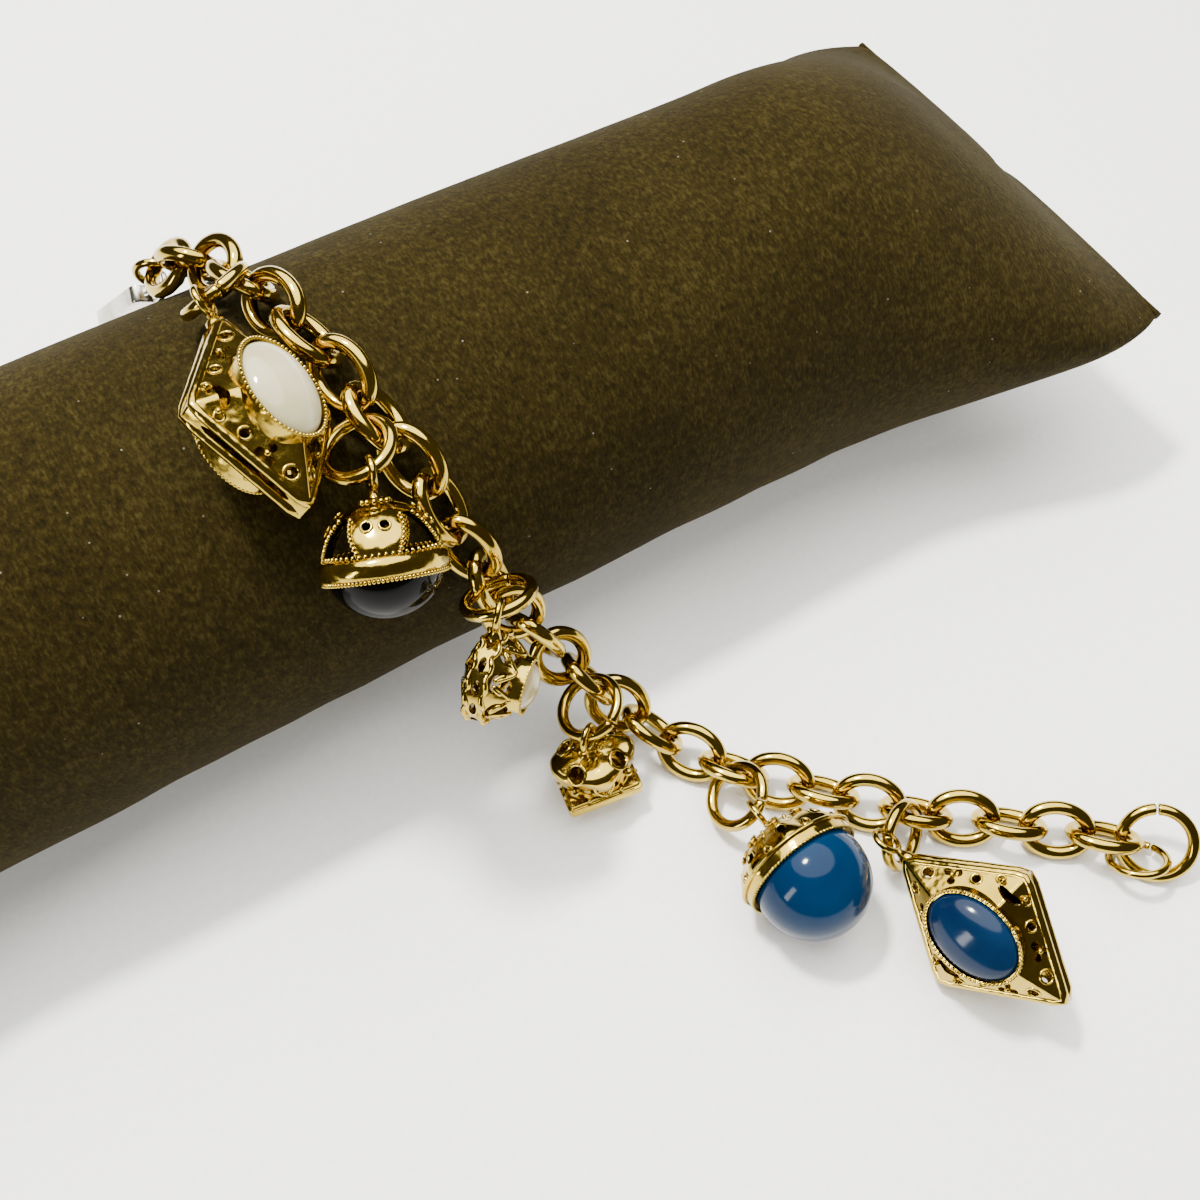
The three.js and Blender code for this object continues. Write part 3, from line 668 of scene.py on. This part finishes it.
lozenge_form = lozenge_lantern()
lozenge_form.data.transform(Matrix.Translation((0, -LANTERN_DROP, 0)))
white_stone = stone_finish(
    "milk_opal", OPAL_DARK, OPAL_LIGHT, 110.0, 0.06, Subsurface_Weight=0.25, Subsurface_Scale=0.002
)
blue_stone = stone_finish(
    "blue_chalcedony", CHALCEDONY_DARK, CHALCEDONY_LIGHT, 120.0, 0.10, Specular_IOR_Level=0.22
)
for colour, ring, turn, finish in (
    ("white", "charm_ring_1", WHITE_TURN, white_stone), ("blue", "charm_ring_6", BLUE_TURN, blue_stone)
):
    case, stone_node = f"{colour}_lozenge_case", f"{colour}_lozenge_stone"
    matrix = disc_matrix(hanging(case, ring, stone_node))
    body = copy_of(lozenge_form, Matrix())
    finish_piece(f"{colour}_lozenge", [body, charm_loop(turn)], matrix, cast_gold, "gold", case)
    for side, node in ((1, stone_node), (-1, f"{colour}_lozenge_back_stone")):
        gem = dome_stone(f"{colour}_cabochon", *LANTERN_STONE)
        gem.data.transform(Matrix.Translation((0, 0, LANTERN_SEAT)))
        if side < 0:
            gem.data.transform(Matrix.Rotation(math.pi, 4, "Y"))
        gem.data.transform(Matrix.Translation((0, -LANTERN_DROP, 0)))
        name = f"{colour}_cabochon" if side > 0 else f"{colour}_cabochon_back"
        finish_piece(name, [gem], matrix, finish, f"{colour}_stone", node)
bpy.data.objects.remove(lozenge_form)


# Black fob


def black_fob():
    """The banded fob upright, its loop at the origin: cage, band, crown and milgrain."""
    top, bottom, high, radius, wall = -9.3, -11.9, 6.2, 7.5, 0.8
    window_wide, window_high, window_out, narrowing = 6.2, 4.6, 5.6, 0.22
    holes = ((-10, 3.3, 1.25), (10, 3.3, 1.25), (0, 4.8, 0.9))  # turn, height, width
    steepness, slim = 50, 0.94

    def dome(radius, height, floor):
        arc = [
            (radius * math.cos(a), floor + height * math.sin(a))
            for a in np.linspace(0, math.pi / 2, 15)[:-1]
        ]
        return lathe("dome", [(0, floor), *arc, (0, floor + height)], 72)

    cage = dome(radius, high, top)
    carve(cage, [dome(radius - wall, high - wall, top)])
    tools, trim, grains = [], [], []
    for quarter in range(4):
        middle = quarter * 90
        for turn, height, size in holes:
            out = (radius - wall / 2) * math.sqrt(1 - (height / high) ** 2)
            spot = bearing(middle + turn, 0) * out + level(top + height)
            way = (bearing(middle + turn, 0) * out / steepness + level(height / high ** 2)).normalized()
            tools.append(drill(spot, way, size, reach=3.0))
            lip = wire_oval("lip", size + 0.45, size + 0.45, 0.34, steps=5, sides=1)
            lip.data.transform(turn_to(way, spot + way * 0.36))
            trim.append(lip)
        edge = 45 + quarter * 90
        clear()
        bpy.ops.mesh.primitive_cube_add(size=1)
        slit = fresh("slit")
        edit(slit, "FACE", lambda face: face.normal.z > 0.9)
        bpy.ops.transform.resize(value=(1, narrowing, 1), center_override=(0, 0, 0))
        leave()
        slit.data.transform(Matrix.Diagonal((window_wide, window_wide, window_high, 1)))
        slit.data.transform(Matrix.Translation((window_out, 0, top + window_high / 2)))
        slit.data.transform(Matrix.Rotation(math.radians(edge), 4, "Z"))
        modify(slit, "BEVEL", width=0.45, segments=3)
        tools.append(slit)
        for side in (-1, 1):
            for step in range(9):
                height = 0.2 + step * 0.52
                out = radius * math.sqrt(1 - (height / high) ** 2)
                lean = side * (3.4 - 2.5 * height / window_high)
                spot = Vector((math.sqrt(max(out * out - lean * lean, 0.1)), lean, top + height))
                grains.append(Matrix.Rotation(math.radians(edge), 3, "Z") @ spot)
    carve(cage, tools)
    smooth(cage, 35)
    rounded = [
        (6.9, bottom + 0.5), (7.3, bottom), (7.65, bottom + 0.06), (7.93, bottom + 0.32),
        (8.12, bottom + 0.75), (8.2, bottom + 1.3), (8.13, top - 0.75), (7.93, top - 0.3), (7.6, top),
        (7.2, top + 0.12), (6.7, top + 0.1), (6.9, bottom + 0.5),
    ]
    band = smooth(lathe("band", rounded, 96), 50)
    low = [bearing(a * 360 / 92, 0) * 7.85 + level(bottom + 0.02) for a in range(92)]
    inner = [bearing(a * 360 / 56, 0) * 7.35 + level(top + 0.25) for a in range(56)]
    crown = [bearing(a * 30, 0) * 1.75 + level(top + high - 0.15) for a in range(12)]
    tip = top + high
    button = [(0, tip - 0.9), (2.1, tip - 0.9), (2.2, tip - 0.6), (1.6, tip), (1.0, -2.7), (0, -2.7)]
    cap = smooth(lathe("cap", button, 40), 40)
    whole = joined("fob_form", [
        cage, band, cap, *trim, beads("milgrain", 0.27, low), beads("inner_grain", 0.3, inner),
        beads("cage_grain", 0.36, grains), beads("crown_grain", 0.42, crown),
    ])
    whole.data.transform(Matrix.Diagonal((slim, slim, 1, 1)))
    return whole


FOB_STONE_WIDE, FOB_STONE_HIGH, FOB_SEAT = 14.0, 6.4, -10.42
ONYX_DARK, ONYX_LIGHT = (0.0008, 0.0009, 0.0008), (0.002, 0.002, 0.002)

black_stone = stone_finish("black_onyx", ONYX_DARK, ONYX_LIGHT, Specular_IOR_Level=0.08)
matrix = drop_matrix(hanging("black_fob_cage", "charm_ring_2", "black_fob_stone", FOB_TURN))
finish_piece(
    "black_fob", [black_fob(), charm_loop(FOB_TURN, True)], matrix, cast_gold, "gold", "black_fob_cage"
)
gem = dome_stone("black_cabochon", FOB_STONE_WIDE, FOB_STONE_WIDE, FOB_STONE_HIGH)
gem.data.transform(Matrix.Translation((0, 0, FOB_SEAT)) @ Matrix.Rotation(math.pi, 4, "X"))
finish_piece("black_cabochon", [gem], matrix, black_stone, "black_stone", "black_fob_stone")


# Scroll charm

def cone_spot(angle, share, side):
    """A point on the charm's sloping face, from its rim at 0 to its middle at 1, and the way out there."""
    if side > 0:
        foot, slope = Vector((5.5, 1.15)), Vector((-1.9, 3.0))
    else:
        foot, slope = Vector((5.5, -1.15)), Vector((-3.6, -1.5))
    spot = foot + slope * share
    out = Vector((-slope.y, slope.x)).normalized() * -1
    out = out if out.y * side > 0 else -out
    around = bearing(math.degrees(angle), 0)
    return around * spot.x + level(spot.y), (around * out.x + level(out.y)).normalized()


def scroll_disc():
    """The filigree disc face up round its own middle."""
    outside = [
        (0, -2.7), (2.0, -2.7), (5.5, -1.1), (5.9, -1.1), (5.9, 1.1), (5.5, 1.1), (3.7, 4.2), (3.7, 5.3),
        (3.3, 5.3), (3.3, 4.3), (0, 4.3),
    ]
    inside = [(0, -2.0), (1.9, -2.0), (4.9, -0.8), (5.2, -0.6), (5.2, 0.8), (2.9, 3.6), (0, 3.6)]
    shell = lathe("shell", outside, 64)
    carve(shell, [lathe("hollow", inside, 64)])
    tools, trim = [], []
    for step in range(7):
        angle = TURN * step / 7
        for side, share, wide, long in ((1, 0.48, 3.1, 3.0), (-1, 0.42, 2.4, 2.8)):
            spot, out = cone_spot(angle, share, side)
            tools.append(drill(spot, out, wide, long, 3, along=spot - level(spot.z), sides=20))
            for hand in (-1, 1):
                coil = []
                for i in range(22):
                    t = i / 21
                    size = (1 - t) ** 1.3
                    swing = angle + hand * (0.20 + 0.23 * size * math.cos(t * 9.0))
                    height = 0.48 + 0.44 * size * math.sin(t * 9.0 + 1.2)
                    place, away = cone_spot(swing, height, side)
                    coil.append(place + away * 0.12)
                trim.append(hoop("scroll", coil, 0.56, 2))
    for step in range(12):
        out = bearing(step * 30 + 15, 0)
        tools.append(drill(out * 5.9, out, 1.0, 2.2, 2, along=bearing(step * 30 + 105, 0)))
    carve(shell, tools)
    twist, sway = 0.72, 0.2
    rope = [
        (5.75 + sway * math.cos(i * twist)) * bearing(i * 3, 0) + level(sway * math.sin(i * twist))
        for i in range(120)
    ]
    for lift in (-1.05, 1.05):
        trim.append(hoop("rope", [spot + level(lift) for spot in rope + rope[:1]], 0.72, 2))
    trim.append(beads("milgrain", 0.22, oval_points(7.1, 7.1, 46, 5.25)))
    return joined("scroll_form", [smooth(shell, 35), *trim])


SCROLL_DROP, SCROLL_SEAT = 9.0, 4.42
SCROLL_STONE = (6.4, 6.4, 2.1)
CREAM_DARK, CREAM_LIGHT = (0.25, 0.20, 0.085), (0.39, 0.325, 0.18)

cream_stone = stone_finish(
    "cream_stone", CREAM_DARK, CREAM_LIGHT, 240.0, 0.10, 0.3, Subsurface_Weight=0.2, Subsurface_Scale=0.001
)
matrix = disc_matrix(hanging("scroll_case", "charm_ring_3", "scroll_stone"))
body = scroll_disc()
body.data.transform(Matrix.Translation((0, -SCROLL_DROP, 0)))
finish_piece("scroll_charm", [body, charm_loop(SCROLL_TURN)], matrix, cast_gold, "gold", "scroll_case")
gem = dome_stone("cream_cabochon", *SCROLL_STONE)
gem.data.transform(Matrix.Translation((0, -SCROLL_DROP, SCROLL_SEAT)))
finish_piece("cream_cabochon", [gem], matrix, cream_stone, "cream_stone", "scroll_stone")


# Seal fob

CROWN_HEIGHTS = (0, 0.35, 0.68, 0.82, 0.92, 0.98, 1)
CROWN_SPREADS = (1, 1.10, 1.19, 1.18, 1.04, 0.62, 0)


def puffed(name, length, width, height, lobe):
    """A four-lobed hollow crown standing on the XY plane."""
    clear()
    bpy.ops.mesh.primitive_uv_sphere_add(segments=64, ring_count=32, radius=1)
    shape = fresh(name)
    edit(shape)
    bpy.ops.mesh.bisect(plane_co=(0, 0, 0), plane_no=(0, 0, 1), clear_inner=True, use_fill=True)
    leave()
    for corner in shape.data.vertices:
        x, y, z = corner.co
        angle = math.atan2(y, x)
        out = np.interp(z, CROWN_HEIGHTS, CROWN_SPREADS)
        out *= 1 + lobe * math.cos(4 * angle) * math.sin(math.pi * min(z, 0.8))
        around = length / 2 * out * math.cos(angle), width / 2 * out * math.sin(angle)
        place = Vector((*around, height * z))
        dent = 0.34 * noise.noise(place * 0.55) * min(1, z * 5)
        corner.co = place + place.normalized() * dent
    return outward(shape)


def seal():
    """The seal fob upright, its loop at the origin: a stepped seal plate under a pierced crown."""
    plate_long, plate_wide, plate_thick, plate_middle, plate_top = 11.2, 9.4, 1.3, -9.6, -8.5
    half_long, half_wide, crown_high, window = 5.0, 4.1, 5.4, 2.9
    clear()
    bpy.ops.mesh.primitive_cube_add(size=1)
    plate = fresh("plate")
    plate.data.transform(Matrix.Diagonal((plate_long, plate_wide, plate_thick, 1)))
    plate.data.transform(Matrix.Translation((0, 0, plate_middle)))
    edit(plate, "EDGE", runs_along(plate, 2))
    bpy.ops.mesh.bevel(offset=0.8, segments=5)
    leave()
    for way, step in ((1, 0.45), (-1, -0.25)):
        edit(plate, "FACE", lambda face: face.normal.z * way > 0.9)
        bpy.ops.mesh.inset(thickness=0.45)
        bpy.ops.mesh.extrude_region_move(TRANSFORM_OT_translate={"value": (0, 0, step)})
        leave()
    modify(plate, "BEVEL", width=0.14, segments=3, limit_method="ANGLE")
    lobe, wall = 0.07, 0.8
    sizes = 2 * half_long, 2 * half_wide, crown_high - 0.1
    crown = puffed("crown", *sizes, lobe)
    carve(crown, [puffed("hollow", sizes[0] - 2 * wall, sizes[1] - 2 * wall, sizes[2] - wall, lobe)])
    tools, trim, grains = [], [], []
    for quarter in range(4):
        middle = bearing(quarter * 90 + 45, 0)
        way = Vector((middle.x * half_long, middle.y * half_wide, crown_high)).normalized()
        spot = Vector((middle.x * 4.2, middle.y * 3.4, 4.6))
        tools.append(drill(spot, way, window, window, 4.4, sides=28))
        lip = wire_oval("lip", window + 0.4, window + 0.4, 0.5, steps=8, sides=2)
        lip.data.transform(turn_to(way, spot + way * 0.35))
        trim.append(lip)
        side = bearing(quarter * 90, 0)
        across = bearing(quarter * 90 + 90, 0)
        half = half_long if quarter % 2 == 0 else half_wide
        for hand in (-1, 1):
            spot = side * half + across * hand * 1.5 + level(2.27)
            tools.append(drill(spot, side + level(0.3), 1.1, 1.3, 3.6, sides=20))
            curl = []
            for i in range(8):
                swing = hand * (0.5 + 0.9 * math.sin(i * 0.5))
                curl.append(side * (half * 1.13 - 0.1 * i) + across * swing + level(1.0 + 0.42 * i))
            trim.append(hoop("curl", curl, 0.5))
        grains += [side * (half + 0.3) + across * a + level(0.5) for a in (-2.4, 0, 2.4)]
        knob = bead(0.62)
        knob.data.transform(Matrix.Translation(Vector((middle.x * 5.7, middle.y * 4.7, 2.2))))
        trim.append(knob)
    carve(crown, tools)
    trim.append(beads("grains", 0.36, grains))
    trim.append(beads("neck_grain", 0.4, [bearing(a * 40, 0) * 1.5 + level(5.2) for a in range(9)]))
    whole = joined("crown", [smooth(crown, 35), *trim])
    whole.data.transform(Matrix.Translation((0, 0, plate_top)))
    return joined("seal_form", [smooth(plate, 35), whole])


matrix = drop_matrix(hanging("seal_fob", "charm_ring_4", None, SEAL_TURN))
finish_piece("seal_charm", [seal(), charm_loop(SEAL_TURN, True)], matrix, cast_gold, "gold", "seal_fob")


# Blue ball

def ball_gallery():
    """The lobed, pierced cap over the blue ball, upside down round its seat, with its setting."""
    wall = [
        (0, -6.4), (1.6, -6.4), (3.2, -6.0), (5.4, -4.9), (7.2, -3.2), (8.2, -1.6), (8.5, -0.8),
        (8.5, 0.0), (7.7, 0.0), (7.5, -0.8), (6.5, -2.8), (4.9, -4.3), (3.0, -5.2), (0, -5.6),
    ]
    # Each hole's turn, its distance out and down, its width and length
    holes = ((0, 7.36, 2.7, 1.5, 1.9), (22.5, 8.0, 1.6, 0.8, 1.0), (0, 5.1, 5.25, 1.4, 1.7))
    bowl = lathe("bowl", wall, 96)
    for corner in bowl.data.vertices:
        angle = math.atan2(corner.co.y, corner.co.x)
        low = min(1, max(0, -corner.co.z / 1.5))
        swell = 1 + (0.05 * math.cos(8 * angle) + 0.03 * noise.noise(corner.co * 0.5)) * low
        corner.co.x *= swell
        corner.co.y *= swell
    tools, trim, grains = [], [], []
    for lobe in range(8):
        for turn, out, down, wide, long in holes:
            way = Vector((*(bearing(lobe * 45 + turn, 0) * out).xy, -down * 1.5)).normalized()
            spot = bearing(lobe * 45 + turn, 0) * out + level(-down)
            tools.append(drill(spot, way, wide, long, 3.4, sides=20))
            lip = wire_oval("lip", long + 0.6, wide + 0.6, 0.45, steps=6, sides=1)
            lip.data.transform(turn_to(way, spot + way * 0.1) @ Matrix.Rotation(math.pi / 2, 4, "Z"))
            trim.append(lip)
        between = bearing(lobe * 45 + 22.5, 0)
        grains += [between * (8.0 - i * 0.8) + level(-1.3 - i * 0.95) for i in range(5)]
    carve(bowl, tools)
    setting = [(8.1, -0.9), (8.55, -0.9), (8.57, 0.8), (8.12, 0.8), (8.1, -0.9)]
    trim.append(smooth(lathe("setting", setting, 96), 40))
    trim.append(beads("milgrain", 0.26, oval_points(16.8, 16.8, 96, 0.8)))
    trim.append(hoop("rope", [bearing(i * 5, 0) * 8.75 + level(-0.75) for i in range(73)], 0.6))
    trim.append(beads("grains", 0.36, grains))
    return joined("ball_form", [smooth(bowl, 35), *trim])


BALL_SEAT, BALL_RADIUS, BALL_SUNK, SET_GAP = -9.5, 8, 2.6, 0.12
TEAL_DARK, TEAL_LIGHT = (0.0, 0.012, 0.040), (0.0, 0.024, 0.073)

ball_stone = stone_finish("teal_ball", TEAL_DARK, TEAL_LIGHT, 70.0, 0.08, Specular_IOR_Level=0.16)
matrix = drop_matrix(hanging("blue_ball_case", "charm_ring_5", "blue_ball_stone", BALL_TURN))
body = ball_gallery()
body.data.transform(Matrix.Translation((0, 0, BALL_SEAT)) @ Matrix.Rotation(math.pi, 4, "X"))
finish_piece("blue_ball", [body, charm_loop(BALL_TURN, True)], matrix, cast_gold, "gold", "blue_ball_case")
clear()
bpy.ops.mesh.primitive_uv_sphere_add(segments=96, ring_count=48, radius=BALL_RADIUS)
gem = fresh("ball")
edit(gem)
bpy.ops.mesh.bisect(plane_co=(0, 0, BALL_SUNK), plane_no=(0, 0, 1), clear_outer=True, use_fill=True)
leave()
gem.data.transform(Matrix.Translation((0, 0, BALL_SEAT - SET_GAP - BALL_SUNK)))
finish_piece(
    "teal_ball_stone", [smooth(outward(gem), 50)], matrix, ball_stone, "ball_stone", "blue_ball_stone"
)


# Clasp tongue

TONGUE_WIDE, TONGUE_THICK, TONGUE_LONG, TONGUE_MIDDLE = 5, 2.4, 14, -10.1

clear()
bpy.ops.mesh.primitive_cube_add(size=1)
tongue = fresh("tongue")
tongue.data.transform(
    Matrix.Translation((0, 0, TONGUE_MIDDLE)) @ Matrix.Diagonal((TONGUE_WIDE, TONGUE_THICK, TONGUE_LONG, 1))
)
edit(tongue, "EDGE", runs_along(tongue, 1))
bpy.ops.mesh.bevel(offset=1.2, segments=6)
leave()
for way in (1, -1):
    edit(tongue, "FACE", lambda face: face.normal.y * way > 0.9)
    bpy.ops.mesh.inset(thickness=0.8)
    bpy.ops.mesh.extrude_region_move(TRANSFORM_OT_translate={"value": (0, -way * 0.35, 0)})
    leave()
modify(tongue, "BEVEL", width=0.2, segments=3, limit_method="ANGLE")
matrix = drop_matrix(hanging("clasp", "clasp_ring", None, TONGUE_TURN))
finish_piece(
    "clasp_tongue", [smooth(tongue, 40), charm_loop(TONGUE_TURN, True)], matrix, worn_silver_finish(),
    "clasp_metal", "clasp"
)


# Pillow

LEFT, RIGHT, HALF_WIDE, HALF_HIGH, SINK, SEAM = -165.0, 79.0, 31.1, 29.6, 2.4, 78.0
TAPER, FLARE, SWELL = 50.0, 55.0, 3.4
MIDDLE, END = HALF_HIGH - SINK, 0.6  # the height of the long axis, and the seam's half thickness
AROUND, STATIONS, TICKS = 96, 66, 20
CLOTH_SCALE = 0.01  # the cloth is worked out with the pillow this much smaller


def section(along):
    """Half the pillow's width and half its height at a place along it."""
    from_end = min(along - LEFT, RIGHT - along)
    full = math.sin(min(from_end / TAPER, 1) * math.pi / 2)
    close = min(from_end / FLARE, 1)
    narrow = close * close * (3 - 2 * close)
    swell = SWELL * math.sin(math.pi * math.sqrt(close)) ** 2
    return SEAM / 2 + (HALF_WIDE - SEAM / 2) * narrow + swell, 1 + (HALF_HIGH - 1) * full


def bolster():
    """A stuffed tube: one round section extruded along the pillow and sized at each station."""
    shares = [(1 - math.cos(math.pi * i / STATIONS)) / 2 for i in range(STATIONS + 1)]
    stations = [LEFT + END + (RIGHT - LEFT - 2 * END) * share for share in shares]
    clear()
    bpy.ops.mesh.primitive_circle_add(
        vertices=AROUND, radius=1, rotation=(0, math.pi / 2, 0), location=(stations[0], 0, 0)
    )
    piece = fresh("pillow")
    edit(piece, "VERT")
    last = None
    for along in stations:
        wide, high = section(along)
        if last:
            bpy.ops.mesh.extrude_region_move(TRANSFORM_OT_translate={"value": (along - last[0], 0, 0)})
            bpy.ops.transform.resize(
                value=(1, wide / last[1], high / last[2]), center_override=(along, 0, 0)
            )
        else:
            bpy.ops.transform.resize(value=(1, wide, high), center_override=(along, 0, 0))
        last = (along, wide, high)
    leave()

    def open_end(edge):
        """Whether an edge lies in the ring at either end."""
        places = [piece.data.vertices[v].co.x for v in edge.vertices]
        return all(min(x - LEFT, RIGHT - x) < END + 0.01 for x in places)

    edit(piece, "EDGE", open_end)
    bpy.ops.mesh.fill_grid()
    leave()
    outward(piece)
    for corner in piece.data.vertices:
        corner.co.z = max(0.05, MIDDLE + corner.co.z)
    return piece


def stuffing(piece):
    """Cloth under a little pressure, its two seam ends held, gives the cover its slack and pulls."""
    before = [corner.co.copy() for corner in piece.data.vertices]
    held = piece.vertex_groups.new(name="seams")
    fixed = [
        corner.index for corner in piece.data.vertices
        if corner.co.x < LEFT + 3 or corner.co.x > RIGHT - 3 or corner.co.z < 0.5
    ]
    held.add(fixed, 1, "ADD")
    piece.data.transform(Matrix.Scale(CLOTH_SCALE, 4))
    only(piece)
    cloth = piece.modifiers.new("Cloth", "CLOTH")
    settings = cloth.settings
    settings.quality = 5
    settings.vertex_group_mass = "seams"
    settings.use_pressure = True
    settings.uniform_pressure_force = 4
    settings.shrink_min = -0.02
    settings.effector_weights.gravity = 0
    cloth.point_cache.frame_start, cloth.point_cache.frame_end = 1, TICKS
    for tick in range(1, TICKS + 1):
        bpy.context.scene.frame_set(tick)
    bpy.ops.object.modifier_apply(modifier=cloth.name)
    bpy.context.scene.frame_set(1)
    piece.data.transform(Matrix.Scale(1 / CLOTH_SCALE, 4))
    shifts = [corner.co - old for corner, old in zip(piece.data.vertices, before)]
    usual = sum((s.length for s in shifts)) / len(shifts)
    for corner, old, shift in zip(piece.data.vertices, before, shifts):
        out = (old - Vector((old.x, 0, MIDDLE))).normalized()
        carried = -78 < old.x < 20 and (old.y < 0 or old.z > 45)
        push = max(-1.2, min(shift.dot(out) - usual, 0.05 if carried else 1.0))
        corner.co = old + out * push
        corner.co.z = max(0.05, corner.co.z)
    piece.vertex_groups.clear()


pillow = bolster()
stuffing(pillow)
for corner in pillow.data.vertices:
    place = corner.co / 23
    dent = noise.fractal(place, 0.8, 2.0, 3) * 0.55
    from_end = min(corner.co.x - LEFT, RIGHT - corner.co.x)
    pucker = math.exp(-from_end / 9) * math.sin(corner.co.y * 0.9) * 0.5
    out = Vector((0, corner.co.y, corner.co.z - MIDDLE)).normalized()
    if corner.co.z > 0.5:
        corner.co += out * (min(dent, 0.0) - 0.12 + pucker * 0.4)
modify(pillow, "SUBSURF", levels=1, render_levels=1)
smooth(pillow, 70)
trims = []
for x in (LEFT + 0.9, RIGHT - 0.9):
    points = [Vector((x, y, MIDDLE)) for y in np.linspace(-SEAM / 2 + END, SEAM / 2 - END, 40)]
    trims.append(hoop("seam", points, 1.3, 3))
low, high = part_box("pillow")
home = (high[0] - RIGHT * MM, (low[1] + high[1]) / 2, low[2])
to_frame = Matrix.Translation(home) @ Matrix.Scale(MM, 4)
finish_piece("suede_pillow", [pillow, *trims], to_frame, suede_finish(), "suede", "pillow")


# Table, light and camera

TABLE_SIZE = 4
LAMP_AIM = Vector((0.0, 0.0, 0.02))
WORLD_COLOUR, WORLD_STRENGTH = (0.26, 0.23, 0.17, 1), 0.34
EYE = Vector((-69.1, -116.0, 177.6))  # in the pillow's own millimetres
AHEAD, RIGHT_HAND = Vector((0.264, 0.443, -0.857)), Vector((0.859, -0.512, 0))
LENS = 39
TABLE_DARK, TABLE_LIGHT = (0.86, 0.86, 0.85), (0.91, 0.91, 0.90)

clear()
bpy.ops.mesh.primitive_plane_add(size=TABLE_SIZE, location=(0, 0, 0))
table = bpy.context.object
table.name = "table"
cloth_white = Finish("white_table")
grain = cloth_white.grain(cloth_white.place(), 900.0, 3.0)
tone = cloth_white.ramp(grain, (0.3, TABLE_DARK), (0.7, TABLE_LIGHT))
roughness = cloth_white.grey(grain, 0.55, 0.7)
table.data.materials.append(cloth_white.feed(Base_Color=tone, Roughness=roughness))


def softbox(name, place, wide, tall, power, colour=(1, 1, 1), shape="ELLIPSE"):
    """An area lamp turned to the pillow's foot."""
    clear()
    bpy.ops.object.light_add(type="AREA", location=place)
    lamp = bpy.context.object
    lamp.name = name
    lamp.data.shape = shape
    lamp.data.size, lamp.data.size_y = wide, tall
    lamp.data.energy, lamp.data.color = power, colour
    lamp.rotation_euler = (LAMP_AIM - Vector(place)).to_track_quat("-Z", "Y").to_euler()
    return lamp


softbox("lamp", (-0.049, 0.219, 0.572), wide=0.10, tall=0.06, power=8.0, colour=(1.0, 0.98, 0.92))
softbox("ceiling", (0.10, 0.25, 0.75), wide=1.30, tall=1.10, power=20.0, colour=(1.0, 0.99, 0.96))
front_box = softbox(
    "front_box", (0.30, -0.45, 0.40), wide=0.55, tall=0.45, power=3.4, colour=(1.0, 0.98, 0.93)
)
front_box.visible_glossy = False
softbox("side_strip", (-0.60, -0.10, 0.25), wide=0.10, tall=0.35, power=2.0, shape="RECTANGLE")
world = bpy.data.worlds.new("room")
world.use_nodes = True
backdrop = world.node_tree.nodes["Background"]
backdrop.inputs["Color"].default_value = WORLD_COLOUR
backdrop.inputs["Strength"].default_value = WORLD_STRENGTH
bpy.context.scene.world = world

ahead = AHEAD.normalized()
right = RIGHT_HAND.normalized()
right = (right - ahead * right.dot(ahead)).normalized()
facing = Matrix((right, right.cross(ahead), -ahead)).transposed().to_4x4()
clear()
bpy.ops.object.camera_add()
camera = bpy.context.object
camera.matrix_world = Matrix.Translation(to_frame @ EYE) @ facing
camera.data.lens = LENS
camera.data.clip_start = 0.005
bpy.context.scene.camera = camera

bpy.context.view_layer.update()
